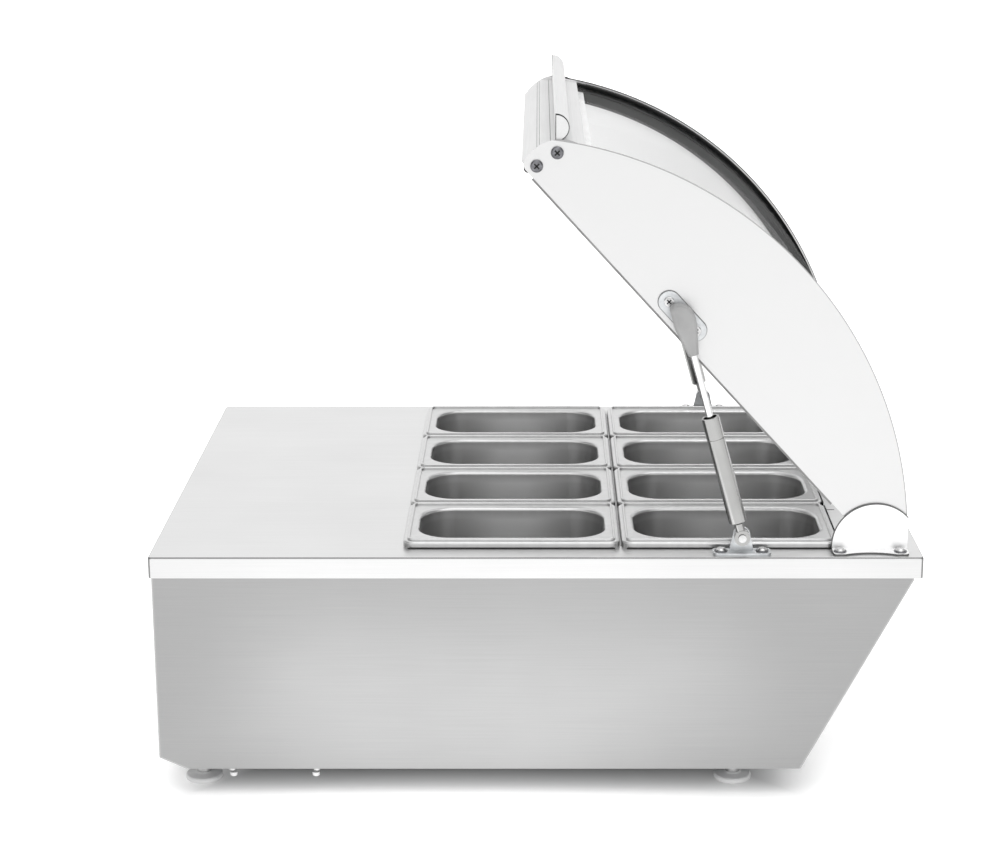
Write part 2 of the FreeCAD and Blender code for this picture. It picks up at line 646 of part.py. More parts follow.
def circle(sketch, x, y, radius):
    """A full circle."""
    x, y, radius = as_size(x), as_size(y), as_size(radius)
    ring = Part.Circle(Vector(x.value, y.value, 0), Vector(0, 0, 1), radius.value)
    edge = sketch.addGeometry(ring)
    constrain(sketch, point_rules(edge, 3, x, y) + [radius_rule(edge, radius)])


def pad(body, sketch, length, reverse=False):
    """Raise a sketch along its normal, or against it."""
    feature = body.newObject("PartDesign::Pad", f"{sketch.Name}_pad")
    feature.Profile = sketch
    bind(feature, "Length", length)
    feature.Reversed = reverse
    doc.recompute()
    return feature


def pocket(body, sketch, length=None, reverse=False):
    """Cut a sketch against its normal, or along it, and make sure that it cuts."""
    before = body.Shape.Volume
    feature = body.newObject("PartDesign::Pocket", f"{sketch.Name}_cut")
    feature.Profile = sketch
    if length is None:
        feature.Type = "ThroughAll"
    else:
        bind(feature, "Length", length)
    feature.Reversed = reverse
    doc.recompute()
    if body.Shape.Volume >= before:
        raise RuntimeError(f"{feature.Name} cuts nothing")
    return feature


def shell(body, sheet_size, is_open):
    """Hollow the body to a sheet, open at the faces that the test picks."""
    base = body.Tip
    faces = [f"Face{n}" for n, face in enumerate(base.Shape.Faces, start=1) if is_open(face)]
    feature = body.newObject("PartDesign::Thickness", f"{body.Label}_shell")
    feature.Base = (base, faces)
    bind(feature, "Value", sheet_size)
    feature.Join = "Intersection"
    feature.Reversed = True
    doc.recompute()
    return feature


def round_edges(body, name, radius, picks):
    """Round the edges that the test picks."""
    base = body.Tip
    edges = [f"Edge{n}" for n, edge in enumerate(base.Shape.Edges, start=1) if picks(edge)]
    feature = body.newObject("PartDesign::Fillet", f"{body.Label}_{name}")
    feature.Base = (base, edges)
    bind(feature, "Radius", radius)
    doc.recompute()
    return feature


def loft(body, kind, sketches):
    """Join the sketches by an added or a cut loft."""
    feature = body.newObject(f"PartDesign::{kind}", f"{sketches[0].Name}_loft")
    feature.Profile = sketches[0]
    feature.Sections = sketches[1:]
    feature.Ruled = True
    doc.recompute()
    return feature


def repeat(body, feature, axis, pitch, count):
    """Repeat a feature in a row along one axis of its sketch."""
    row = body.newObject("PartDesign::LinearPattern", f"{feature.Name}_row")
    row.Originals = [feature]
    row.Direction = (feature.Profile[0], [axis])
    bind(row, "Length", pitch * (count - 1))
    row.Occurrences = count
    body.Tip = row
    doc.recompute()
    return row


def turn(body, sketch):
    """Turn a half section about the sketch's upright axis."""
    feature = body.newObject("PartDesign::Revolution", f"{sketch.Name}_turned")
    feature.Profile = sketch
    feature.ReferenceAxis = (sketch, ["V_Axis"])
    feature.Angle = 360
    doc.recompute()
    return feature


def flat_at(edge, z, tolerance=0.01):
    """Whether an edge lies at one height."""
    box = edge.BoundBox
    return abs(box.ZMin - z) < tolerance and abs(box.ZMax - z) < tolerance


def span(side, inner, outer):
    """Lower and upper Y of a layer that lies between two distances from the middle."""
    inner, outer = as_size(inner), as_size(outer)
    return (-outer, -inner) if side == NEAR else (inner, outer)


def layer(body, name, low_y, high_y, corners):
    """An upright outline raised from one depth to another."""
    sketch = upright(body, name, high_y)
    outline(sketch, corners)
    return pad(body, sketch, high_y - low_y)


def rod_along_y(body, name, x, z, radius, low_y, high_y):
    """A round bar along Y."""
    sketch = upright(body, name, high_y)
    circle(sketch, x, z, radius)
    return pad(body, sketch, high_y - low_y)


def hole_along_y(body, name, low_y, holes):
    """Round holes along Y, right through from one depth on."""
    sketch = upright(body, name, low_y)
    for x, z, radius in holes:
        circle(sketch, x, z, radius)
    return pocket(body, sketch)


def group(label, solids):
    """Like pieces that share one node, each a solid of its own."""
    feature = doc.addObject("Part::Feature", label)
    feature.Label = label
    feature.Shape = Part.makeCompound(solids)
    return feature


def turned_solid(section):
    """A solid turned about Z from a half section of (radius, height) points."""
    points = [Vector(as_size(r).value, 0, as_size(z).value) for r, z in section]
    face = Part.Face(Part.makePolygon(points + points[:1]))
    return face.revolve(Vector(0, 0, 0), Vector(0, 0, 1), 360)


def copies(solid, places):
    """Copies of a solid at the given placements."""
    made = []
    for placement in places:
        copy = solid.copy()
        copy.Placement = placement
        made.append(copy)
    return made


def at(x, y, z, axis=Vector(0, 0, 1), angle=0.0):
    """A placement from sizes."""
    point = Vector(as_size(x).value, as_size(y).value, as_size(z).value)
    return Placement(point, Rotation(axis, angle))


def screw(shank, length, head, dome):
    """A round-headed screw, head upwards, seated at height 0."""
    bevel = dome * 0.45
    return turned_solid([
        (0, -length), (shank, -length), (shank, 0), (head, 0),
        (head, dome - bevel), (head - bevel, dome), (0, dome),
    ])


# Casing
def strut_screw_points(side):
    """Plan places of the two screws of a strut bracket."""
    y = bracket_y * side
    return [(strut_foot_x + d.bracket_screw_pitch / 2 * step, y) for step in (-1, 1)]


def moon_screw_points(side):
    """Plan places of the two screws of a hinge bracket."""
    y = moon_screw_y * side
    return [(hinge_x - d.moon_screw_front, y), (hinge_x + d.moon_screw_rear, y)]


def foot_points():
    """Plan places of the four feet."""
    return [(x, foot_y * side) for x in (foot_rear_x, foot_front_x) for side in (NEAR, FAR)]


def foot_bolt_points():
    """Plan places of the bolts of the foot plates."""
    firsts = (foot_rear_x + d.foot_bolt_pitch / 2, foot_front_x - d.foot_bolt_pitch / 2)
    return [(first + d.foot_bolt_pitch * step, (foot_y + d.foot_bolt_y) * side)
            for first in firsts for step in (0, 1) for side in (NEAR, FAR)]


def panel_bolt_points():
    """Plan places of the bolts that hold the side panels to the base pan."""
    y = casing_y - d.panel_bolt_edge
    return [(inset - half_length, y * side)
            for inset in (d.panel_bolt_rear, d.panel_bolt_front) for side in (NEAR, FAR)]


def mount_points():
    """Plan places of the compressor mounts."""
    return [(pot_x + mount_half_x * i, d.mount_pitch_y / 2 * j - d.pot_y)
            for i in (-1, 1) for j in (-1, 1)]


def make_worktop():
    """Folded worktop with the cut-out for the pans and the bracket screw holes."""
    body = new_body("worktop")
    sketch = level(body, "plan", d.top_height - d.fascia_drop)
    box_outline(sketch, -half_length, half_length, -half_width, half_width, d.top_corner)
    pad(body, sketch, d.fascia_drop)
    under = (d.top_height - d.fascia_drop).value
    shell(body, d.top_sheet, lambda face: abs(face.CenterOfMass.z - under) < 0.01)
    sketch = level(body, "well", d.top_height)
    box_outline(sketch, pan_block_x - well_half_x, pan_block_x + well_half_x,
                -well_half_y, well_half_y, d.well_corner)
    for side in (NEAR, FAR):
        for x, y in strut_screw_points(side) + moon_screw_points(side):
            circle(sketch, x, y, d.top_screw_shank + d.screw_fit)
    pocket(body, sketch)
    rim_x, rim_y, top = half_length.value, half_width.value, d.top_height.value
    corner = d.top_corner.value

    def on_fold(edge):
        middle = edge.CenterOfMass
        outside = abs(middle.x) > rim_x - corner or abs(middle.y) > rim_y - corner
        return outside and flat_at(edge, top)

    round_edges(body, "fold", d.fold_radius, on_fold)


def make_side_panel(side):
    """Side panel with folded edges, cut to the lean of the customer side."""
    body = new_body(f"side_panel_{SIDE_NAMES[side]}")
    low_y, high_y = span(side, casing_y - d.side_flange, casing_y)
    layer(body, "skin", low_y, high_y, [
        (rear_in, top_under), (rear_in, toe_in_z), (toe_in_x, d.foot_height),
        (front_foot - front_skin, d.foot_height), (knee_in, knee_in_z), (knee_in, top_under),
    ])
    inner = ((casing_y - d.side_flange) * side).value
    shell(body, d.panel_sheet, lambda face: abs(face.CenterOfMass.y - inner) < 0.01)
    sketch = level(body, "bolt_holes", base_z)
    for x, y in panel_bolt_points():
        if y.value * side > 0:
            circle(sketch, x, y, d.bolt_shank + d.screw_fit)
    pocket(body, sketch, d.panel_sheet * 2)
    sketch = level(body, "screw_holes", top_under)
    for x, y in strut_screw_points(side) + moon_screw_points(side):
        circle(sketch, x, y, d.top_screw_shank + d.screw_fit)
    pocket(body, sketch, d.panel_sheet)


def make_front_panel():
    """Leaning customer panel."""
    body = new_body("front_panel")
    layer(body, "section", -casing_y, casing_y, [
        (knee_in, top_under), (knee_in, knee_in_z), (front_foot - front_skin, d.foot_height),
        (front_foot, d.foot_height), (knee_out, knee_z), (knee_out, top_under),
    ])


def make_rear_panel():
    """Operator panel with its bevel, the control cut-outs and the air slots."""
    body = new_body("rear_panel")
    layer(body, "section", -casing_y, casing_y, [
        (rear_out, top_under), (rear_out, toe_z), (rear_out + d.toe_run, d.foot_height),
        (toe_in_x, d.foot_height), (rear_in, toe_in_z), (rear_in, top_under),
    ])
    sketch = facing(body, "cutouts", rear_in)
    cutouts = (
        (-d.controller_y, d.control_z, d.controller_length, d.controller_height),
        (-d.switch_y, d.control_z, d.switch_width, d.switch_length),
        (-inlet_y, d.inlet_z, d.inlet_length, d.inlet_height),
    )
    for y, z, length, height in cutouts:
        half_y, half_z = length / 2 + d.cutout_gap, height / 2 + d.cutout_gap
        box_outline(sketch, y - half_y, y + half_y, z - half_z, z + half_z)
    pocket(body, sketch, d.panel_sheet)
    sketch = facing(body, "slots", rear_in)
    low = fan_z - d.slot_pitch * ((AIR_SLOTS - 1) / 2) - d.slot_height / 2
    for column in (-1, 1):
        y = d.condenser_y + (d.slot_length / 2 + d.slot_pitch / 2) * column
        box_outline(sketch, y - d.slot_length / 2, y + d.slot_length / 2,
                    low, low + d.slot_height, d.slot_height * 0.4)
    repeat(body, pocket(body, sketch, d.panel_sheet), "V_Axis", d.slot_pitch, AIR_SLOTS)


def make_base_pan():
    """Base pan on the lower edges of the side panels, with its bolt and drain holes."""
    body = new_body("base_pan")
    sketch = level(body, "plan", base_z)
    edge_y = casing_y - d.panel_sheet - d.foam_gap
    box_outline(sketch, base_rear, front_foot - front_skin * 2 - d.base_margin, -edge_y, edge_y)
    for x, y in foot_points():
        circle(sketch, x, y, d.foot_stem + d.screw_fit)
    for x, y in foot_bolt_points() + panel_bolt_points():
        circle(sketch, x, y, d.bolt_shank + d.screw_fit)
    for x, y in mount_points():
        circle(sketch, x, y, d.mount_bolt + d.screw_fit)
    circle(sketch, drain_x, 0, d.drain_radius + d.drain_gap)
    pad(body, sketch, d.panel_sheet)


def make_feet():
    """Levelling feet, their plates and bolts, and the side-panel bolts."""
    stem_top = base_z + d.panel_sheet + d.foot_plate_sheet
    foot = turned_solid([
        (0, 0), (d.foot_radius - 1, 0), (d.foot_radius, 1), (d.foot_radius, d.foot_disc - 1),
        (d.foot_radius - 1, d.foot_disc), (d.foot_hub + 2, d.foot_disc + 1), (d.foot_hub, d.foot_disc + 2),
        (d.foot_hub, d.foot_hub_height), (d.foot_stem, d.foot_hub_height),
        (d.foot_stem, stem_top), (0, stem_top),
    ])
    group("feet", copies(foot, [at(x, y, 0) for x, y in foot_points()]))

    body = new_body("foot_plates")
    body.AllowCompound = True
    plate_z = base_z - d.foot_plate_sheet
    sketch = level(body, "plan", plate_z)
    for low_x in (base_rear + d.base_margin, foot_front_x - d.foot_plate_lead):
        for side in (NEAR, FAR):
            low_y, high_y = span(side, foot_y - d.foot_plate_width / 2, foot_y + d.foot_plate_width / 2)
            box_outline(sketch, low_x, low_x + d.foot_plate_length, low_y, high_y)
    for x, y in foot_points():
        circle(sketch, x, y, d.foot_stem + d.screw_fit)
    for x, y in foot_bolt_points():
        circle(sketch, x, y, d.bolt_shank + d.screw_fit)
    pad(body, sketch, d.foot_plate_sheet)

    down = Vector(1, 0, 0)
    bolt = screw(d.bolt_shank, d.foot_plate_sheet + d.panel_sheet * 2, d.bolt_head, d.bolt_head_height)
    group("foot_bolts", copies(bolt, [at(x, y, plate_z, down, 180) for x, y in foot_bolt_points()]))
    bolt = screw(d.bolt_shank, d.panel_sheet * 3, d.bolt_head, d.panel_bolt_head)
    group("panel_bolts", copies(bolt, [at(x, y, d.foot_height, down, 180) for x, y in panel_bolt_points()]))


# Well
def make_inner_tank():
    """Open tank under the pans, with its flange, the ledges for the bar and the drain hole."""
    body = new_body("inner_tank")
    sketch = level(body, "plan", tank_under)
    left, right = pan_block_x - tank_half_x, pan_block_x + tank_half_x
    box_outline(sketch, left, right, -tank_half_y, tank_half_y, d.well_corner)
    pad(body, sketch, top_under - tank_under)
    top = top_under.value
    shell(body, d.tank_sheet, lambda face: abs(face.CenterOfMass.z - top) < 0.01)
    sketch = level(body, "flange", top_under - d.tank_sheet)
    reach = d.tank_flange
    box_outline(sketch, left - reach, right + reach, -tank_half_y - reach, tank_half_y + reach)
    wall = d.tank_sheet
    box_outline(sketch, left + wall, right - wall, wall - tank_half_y, tank_half_y - wall,
                d.well_corner - wall)
    pad(body, sketch, d.tank_sheet)
    sketch = level(body, "ledges", d.top_height - d.bar_height)
    for side in (NEAR, FAR):
        low_y, high_y = span(side, tank_half_y - d.tank_sheet - d.bar_ledge, tank_half_y - d.tank_sheet)
        box_outline(sketch, pan_block_x - d.bar_width / 2, pan_block_x + d.bar_width / 2, low_y, high_y)
    pad(body, sketch, d.bar_sheet, reverse=True)
    sketch = level(body, "drain_hole", tank_floor)
    circle(sketch, drain_x, 0, d.drain_radius + d.drain_gap)
    pocket(body, sketch, d.tank_sheet)


def make_insulation():
    """Foam round the tank, shaped to the leaning customer panel."""
    body = new_body("insulation")
    foam_top = top_under - d.tank_sheet - d.foam_gap
    foam_under = tank_under - d.foam_floor
    foam_y = casing_y - d.side_flange - d.foam_gap
    lean = d.front_run / front_rise
    lower_right = front_foot - front_skin - d.foam_gap + (foam_under - d.foot_height) * lean
    layer(body, "section", -foam_y, foam_y, [
        (foam_left, foam_top), (foam_left, foam_under), (lower_right, foam_under),
        (knee_in - d.foam_gap, knee_in_z), (knee_in - d.foam_gap, foam_top),
    ])
    sketch = level(body, "tank_room", foam_top)
    reach_x, reach_y = tank_half_x + d.foam_gap, tank_half_y + d.foam_gap
    box_outline(sketch, pan_block_x - reach_x, pan_block_x + reach_x, -reach_y, reach_y,
                d.well_corner + d.foam_gap)
    pocket(body, sketch, foam_top - tank_under + d.foam_gap)
    sketch = level(body, "coil_room", tank_under)
    room = d.coil_margin - d.coil_radius * 2
    box_outline(sketch, pan_block_x - tank_half_x + room, pan_block_x + tank_half_x - room,
                -tank_half_y + room, tank_half_y - room)
    pocket(body, sketch, (d.coil_radius + d.coil_gap) * 2)
    sketch = level(body, "drain_hole", foam_top)
    circle(sketch, drain_x, 0, d.drain_radius + d.drain_gap)
    pocket(body, sketch)


def make_evaporator_coil():
    """Evaporator tube, wound to and fro under the tank floor and clear of the drain."""
    radius = d.coil_radius.value
    z = (tank_under - d.coil_gap - d.coil_radius).value
    bend = coil_pitch.value / 2
    half_run = (tank_half_x - d.coil_margin).value - bend
    middle = pan_block_x.value
    first = -coil_pitch.value * (COIL_RUNS - 1) / 2
    edges = []
    for run in range(COIL_RUNS):
        y = first + coil_pitch.value * run
        heading = 1 if run % 2 == 0 else -1
        start = Vector(middle - half_run * heading, y, z)
        end = Vector(middle + half_run * heading, y, z)
        edges.append(Part.LineSegment(start, end).toShape())
        if run < COIL_RUNS - 1:
            far_end = Vector(end.x, y + coil_pitch.value, z)
            crest = Vector(end.x + bend * heading, y + bend, z)
            edges.append(Part.Arc(end, crest, far_end).toShape())
    path = Part.Wire(edges)
    ring = Part.Wire(Part.makeCircle(radius, edges[0].Vertexes[0].Point, Vector(1, 0, 0)))
    feature = doc.addObject("Part::Feature", "evaporator_coil")
    feature.Label = "evaporator_coil"
    feature.Shape = path.makePipeShell([ring], True, False)


def make_drain_tube():
    """Drain tube with its collar on the tank floor."""
    body = new_body("drain_tube")
    sketch = upright(body, "section", 0)
    bore = d.drain_radius - d.drain_wall
    seat = tank_floor
    outline(sketch, [
        (bore, d.drain_end), (d.drain_radius, d.drain_end), (d.drain_radius, seat),
        (d.drain_collar, seat), (d.drain_collar, seat + d.drain_wall), (bore, seat + d.drain_wall),
    ])
    turn(body, sketch)
    place(body, drain_x, 0, 0)


def make_pan_support_bar():
    """Channel that carries the inner ends of the pans."""
    body = new_body("pan_support_bar")
    left, right = pan_block_x - d.bar_width / 2, pan_block_x + d.bar_width / 2
    low, high = d.top_height - d.bar_height, d.top_height
    end_y = well_half_y - d.bar_gap
    layer(body, "section", -end_y, end_y, [
        (left, low), (left + d.bar_sheet, low), (left + d.bar_sheet, high - d.bar_sheet),
        (right - d.bar_sheet, high - d.bar_sheet), (right - d.bar_sheet, low), (right, low),
        (right, high), (left, high),
    ])


def make_pan(column, row):
    """One pan: flange with a turned-down edge and a drawn well with round corners."""
    body = new_body(f"pan_{'left' if column == 0 else 'right'}_{row + 1}")
    half_x, half_y = pan_length / 2, pan_width / 2
    sketch = level(body, "flange", 0)
    box_outline(sketch, -half_x, half_x, -half_y, half_y, d.pan_corner)
    pad(body, sketch, d.pan_rim)
    shell(body, d.pan_sheet, lambda face: abs(face.CenterOfMass.z) < 0.01)
    rim = d.pan_rim.value
    under = (d.pan_rim - d.pan_sheet).value
    round_edges(body, "edge_outside", d.pan_edge, lambda edge: flat_at(edge, rim))
    round_edges(body, "edge_inside", d.pan_edge - d.pan_sheet, lambda edge: flat_at(edge, under))

    floor_z = d.pan_rim - d.pan_depth

    def well(name, grow, floor):
        sketches = []
        for part, z, inset in (("mouth", d.pan_rim, as_size(0)), ("floor", floor, d.floor_inset)):
            section = level(body, f"{name}_{part}", z)
            reach_x = mouth_length / 2 + grow - inset
            reach_y = mouth_width / 2 + grow - inset
            box_outline(section, -reach_x, reach_x, -reach_y, reach_y, d.mouth_radius + grow - inset)
            sketches.append(section)
        return sketches

    loft(body, "AdditiveLoft", well("outside", d.pan_sheet, floor_z))
    limit_x = (mouth_length / 2 + d.pan_sheet).value + 0.01
    limit_y = (mouth_width / 2 + d.pan_sheet).value + 0.01

    def under_flange(edge):
        box = edge.BoundBox
        return flat_at(edge, under) and max(abs(box.XMin), abs(box.XMax)) < limit_x \
            and max(abs(box.YMin), abs(box.YMax)) < limit_y

    round_edges(body, "neck_outside", d.mouth_round - d.pan_sheet, under_flange)
    inner_floor = floor_z + d.pan_sheet
    loft(body, "SubtractiveLoft", well("inside", as_size(0), inner_floor))
    inner_edge = inner_floor.value
    round_edges(body, "floor_inside", d.floor_round, lambda edge: flat_at(edge, inner_edge))
    floor_edge = floor_z.value
    round_edges(body, "floor_outside", d.floor_round + d.pan_sheet, lambda edge: flat_at(edge, floor_edge))

    def at_mouth(edge):
        box = edge.BoundBox
        return flat_at(edge, rim) and max(abs(box.XMin), abs(box.XMax)) < limit_x

    round_edges(body, "mouth", d.mouth_round, at_mouth)
    x = pan_block_x + pan_pitch_x * (column - (PAN_COLUMNS - 1) / 2)
    y = pan_pitch_y * (row - (PAN_ROWS - 1) / 2)
    place(body, x, y, d.top_height)


# Lid, drawn closed about the hinge axis
def nose_screw_points():
    """Places of the screws that hold a cheek to the profile."""
    return [(-d.nose_screw_low_x, d.nose_screw_low_z), (-d.nose_screw_high_x, d.nose_screw_high_z)]


def make_cheek(side):
    """Cheek with its arched edge, round nose and hinge hole."""
    body = new_body(f"cheek_{SIDE_NAMES[side]}")
    low_y, high_y = span(side, cheek_in, cheek_out)
    heel_side = root(d.heel_radius * d.heel_radius - d.chord_drop * d.chord_drop)
    chord = -d.chord_drop
    layer(body, "outline", low_y, high_y, [
        (d.nose_corner - d.lid_reach, chord), (-heel_side, chord, d.heel_radius), (d.heel_radius, 0),
        (d.heel_x, d.heel_z), (d.heel_top_x, arch_z(d.arch_radius, d.heel_top_x), d.arch_radius),
        (-d.arch_end, arch_z(d.arch_radius, -d.arch_end), d.nose_radius),
        (-d.lid_reach, d.nose_height), (-d.lid_reach, chord + d.nose_corner, d.nose_corner),
    ])
    holes = [(x, z, d.nose_screw_shank + d.screw_fit) for x, z in nose_screw_points()]
    holes.append((as_size(0), as_size(0), d.stud_radius + d.hinge_fit))
    hole_along_y(body, "holes", low_y, holes)
    place_on_lid(body)


def band(outer, inner, front_x, rear_x):
    """Outline between two arcs about the arch centre, from the rear end to the front end."""
    return [
        (rear_x, arch_z(inner, rear_x)), (rear_x, arch_z(outer, rear_x), outer),
        (front_x, arch_z(outer, front_x)), (front_x, arch_z(inner, front_x), -inner),
    ]


def make_curved_glass():
    """Curved glass between the cheeks."""
    body = new_body("curved_glass")
    edge_y = cheek_in - d.channel_web - d.glass_gap
    layer(body, "section", -edge_y, edge_y, band(glass_out, glass_in, -d.glass_front_x, d.glass_rear_x))
    place_on_lid(body)


def make_glass_channel(side):
    """Channel along the arched edge that holds one edge of the glass."""
    body = new_body(f"glass_channel_{SIDE_NAMES[side]}")
    low_y, high_y = span(side, cheek_in - d.channel_width, cheek_in)
    front_x = d.channel_end - d.profile_lip_x
    rear_x = -d.rail_front_x - d.channel_end
    layer(body, "section", low_y, high_y, band(channel_out, channel_out - d.channel_depth, front_x, rear_x))
    slot_low, slot_high = span(side, cheek_in - d.channel_width, cheek_in - d.channel_web)
    sketch = upright(body, "glass_slot", slot_low)
    reach = d.channel_end / 2
    outline(sketch, band(glass_out + d.glass_gap, glass_in - d.glass_gap, front_x - reach, rear_x + reach))
    pocket(body, sketch, slot_high - slot_low)
    place_on_lid(body)


def make_edge_profile():
    """Aluminium profile along the free edge, with a slot for the glass and a seat for the grip."""
    body = new_body("edge_profile")
    back = profile_face + d.profile_width
    lip_in = arch_z(channel_out - d.profile_lip, -d.profile_lip_x)
    layer(body, "section", -cheek_in, cheek_in, [
        (profile_face, profile_under), (back, profile_under), (back, profile_under + d.profile_back),
        (-d.profile_lip_x, lip_in), (-d.profile_lip_x, arch_z(channel_out, -d.profile_lip_x)),
        (-d.profile_seam_x, arch_z(channel_out, -d.profile_seam_x)),
        (-d.profile_slope_x, d.profile_slope_z), (profile_face, profile_under + d.profile_side),
    ])
    sketch = upright(body, "glass_slot", -cheek_in)
    outline(sketch, band(glass_out + d.glass_gap, glass_in - d.glass_gap,
                         -d.glass_front_x - d.glass_gap, d.channel_end - d.profile_lip_x))
    pocket(body, sketch)
    holes = [(x, z, d.nose_screw_shank + d.screw_fit) for x, z in nose_screw_points()]
    hole_along_y(body, "screw_holes", -cheek_in, holes)
    place_on_lid(body)


def make_hinge_rail():
    """Rail that holds the lower glass edge and ties the cheeks."""
    body = new_body("hinge_rail")
    rail_in = channel_out - d.profile_lip
    front_x, rear_x = -d.rail_front_x, d.rail_rear_x
    layer(body, "section", -cheek_in, cheek_in, [
        (front_x, arch_z(rail_in, front_x)), (rear_x, arch_z(rail_in, rear_x)),
        (rear_x, arch_z(channel_out, rear_x)), (front_x, arch_z(channel_out, front_x)),
    ])
    sketch = upright(body, "glass_slot", -cheek_in)
    outline(sketch, band(glass_out + d.glass_gap, glass_in - d.glass_gap,
                         -d.rail_front_x - d.channel_end, d.glass_rear_x + d.glass_gap))
    pocket(body, sketch)
    place_on_lid(body)


def make_grip_bar():
    """Half-round grip that stands on the profile."""
    body = new_body("grip_bar")
    end_y = cheek_in - d.grip_end_gap
    centre = d.grip_rise + d.grip_radius
    neck_z = centre - root(d.grip_radius * d.grip_radius - d.grip_neck * d.grip_neck)
    layer(body, "section", -end_y, end_y, [
        (0, 0), (d.grip_neck, 0), (d.grip_neck, neck_z, d.grip_radius),
        (d.grip_radius, centre, d.grip_radius), (0, centre + d.grip_radius),
    ])
    seat_dx = d.profile_slope_x - d.profile_seam_x
    seat_dz = arch_z(channel_out, -d.profile_seam_x) - d.profile_slope_z
    seat_length = root(seat_dx * seat_dx + seat_dz * seat_dz)
    share = d.grip_offset / seat_length
    x, z = lid_point(seat_dx * share - d.profile_slope_x, seat_dz * share + d.profile_slope_z)
    seat_tilt = bearing(seat_dz, seat_dx)
    place(body, x, 0, z, Vector(0, 1, 0), d.lid_open - seat_tilt)


def make_lid_seal():
    """Seal under the profile."""
    body = new_body("lid_seal")
    end_y = cheek_in - d.grip_end_gap
    sketch = upright(body, "section", end_y)
    left = profile_face + d.seal_inset
    box_outline(sketch, left, left + d.seal_width, profile_under - d.seal_height, profile_under)
    pad(body, sketch, end_y * 2)
    place_on_lid(body)


def make_cheek_trims():
    """Edge trims along the straight edges of both cheeks."""
    strips = []
    for side in (NEAR, FAR):
        strip = doc.addObject("Part::Box", f"cheek_trim_{SIDE_NAMES[side]}")
        bind(strip, "Length", d.trim_front_x - d.trim_rear_x)
        bind(strip, "Width", d.cheek_sheet + d.trim_lap * 2)
        bind(strip, "Height", d.trim_height)
        low_y, _ = span(side, cheek_in - d.trim_lap, cheek_out + d.trim_lap)
        place(strip, -d.trim_front_x, low_y, -d.chord_drop - d.trim_height)
        strips.append(strip)
    pair = doc.addObject("Part::Compound", "cheek_trims")
    pair.Label = "cheek_trims"
    pair.Links = strips
    place_on_lid(pair)


def make_nose_screws():
    """Screws through the cheeks into the profile."""
    one = screw(d.nose_screw_shank, d.nose_screw_length, d.nose_screw_head, d.nose_screw_dome)
    places = []
    for side in (NEAR, FAR):
        for x, z in nose_screw_points():
            places.append(at(x, cheek_out * side, z, Vector(1, 0, 0), -90.0 * side))
    screws = group("nose_screws", copies(one, places))
    place_on_lid(screws)


# Hinge brackets
def make_hinge_bracket(side):
    """Half-moon plate with its screwed flange and the hinge stud."""
    body = new_body(f"hinge_bracket_{SIDE_NAMES[side]}")
    low_y, high_y = span(side, moon_in, moon_out)
    centre_z = d.top_height + d.moon_rise
    left = hinge_x - root(d.moon_radius * d.moon_radius - d.moon_rise * d.moon_rise)
    right = hinge_x + d.moon_right
    right_z = centre_z + root(d.moon_radius * d.moon_radius - d.moon_right * d.moon_right)
    layer(body, "half_moon", low_y, high_y, [
        (left, d.top_height), (right, d.top_height), (right, right_z, d.moon_radius),
        (hinge_x, centre_z + d.moon_radius, d.moon_radius),
    ])
    sketch = level(body, "flange", d.top_height)
    flange_low, flange_high = span(side, moon_in, moon_out + d.moon_flange)
    box_outline(sketch, left, right, flange_low, flange_high)
    pad(body, sketch, d.moon_sheet)
    edge_y = moon_out + d.moon_flange
    sketch = level(body, "cuts", d.top_height + d.moon_sheet)
    circle(sketch, (left + right) / 2, (edge_y - d.moon_bow + d.moon_bow_radius) * side, d.moon_bow_radius)
    for x, y in moon_screw_points(side):
        circle(sketch, x, y, d.top_screw_shank + d.screw_fit)
    pocket(body, sketch, d.moon_sheet)
    ear_y = (edge_y * side).value

    def at_ear(edge):
        box = edge.BoundBox
        return abs(box.YMin - ear_y) < 0.01 and abs(box.YMax - ear_y) < 0.01 and box.XLength < 0.01

    round_edges(body, "ears", d.moon_ear, at_ear)
    stud_low, stud_high = span(side, moon_in - d.stud_length, moon_in)
    rod_along_y(body, "stud", hinge_x, hinge_z, d.stud_radius, stud_low, stud_high)


def make_hinge_nuts():
    """Flange nuts on the hinge studs."""
    flange = Part.makeCylinder(d.nut_flange.value, d.nut_flange_height.value)
    corners = [Vector(d.nut_radius.value, 0, 0)]
    corners = [Rotation(Vector(0, 0, 1), 60 * n).multVec(corners[0]) for n in range(7)]
    hexagon = Part.Face(Part.makePolygon(corners)).extrude(Vector(0, 0, d.nut_height.value))
    bore = Part.makeCylinder((d.stud_radius + d.hinge_fit).value, d.nut_height.value)
    nut = flange.fuse(hexagon).cut(bore).removeSplitter()
    places = []
    for side in (NEAR, FAR):
        y = (cheek_in - d.nut_gap) * side
        places.append(at(hinge_x, y, hinge_z, Vector(1, 0, 0), 90.0 * side))
    group("hinge_nuts", copies(nut, places))


def make_top_screws():
    """Screws of the hinge brackets and of the strut brackets."""
    one = screw(d.top_screw_shank, d.top_screw_length, d.top_screw_head, d.top_screw_dome)
    for label, points, seat in (
            ("hinge_bracket_screws", moon_screw_points, d.moon_sheet),
            ("strut_bracket_screws", strut_screw_points, d.bracket_sheet)):
        z = d.top_height + seat
        group(label, copies(one, [at(x, y, z) for side in (NEAR, FAR) for x, y in points(side)]))


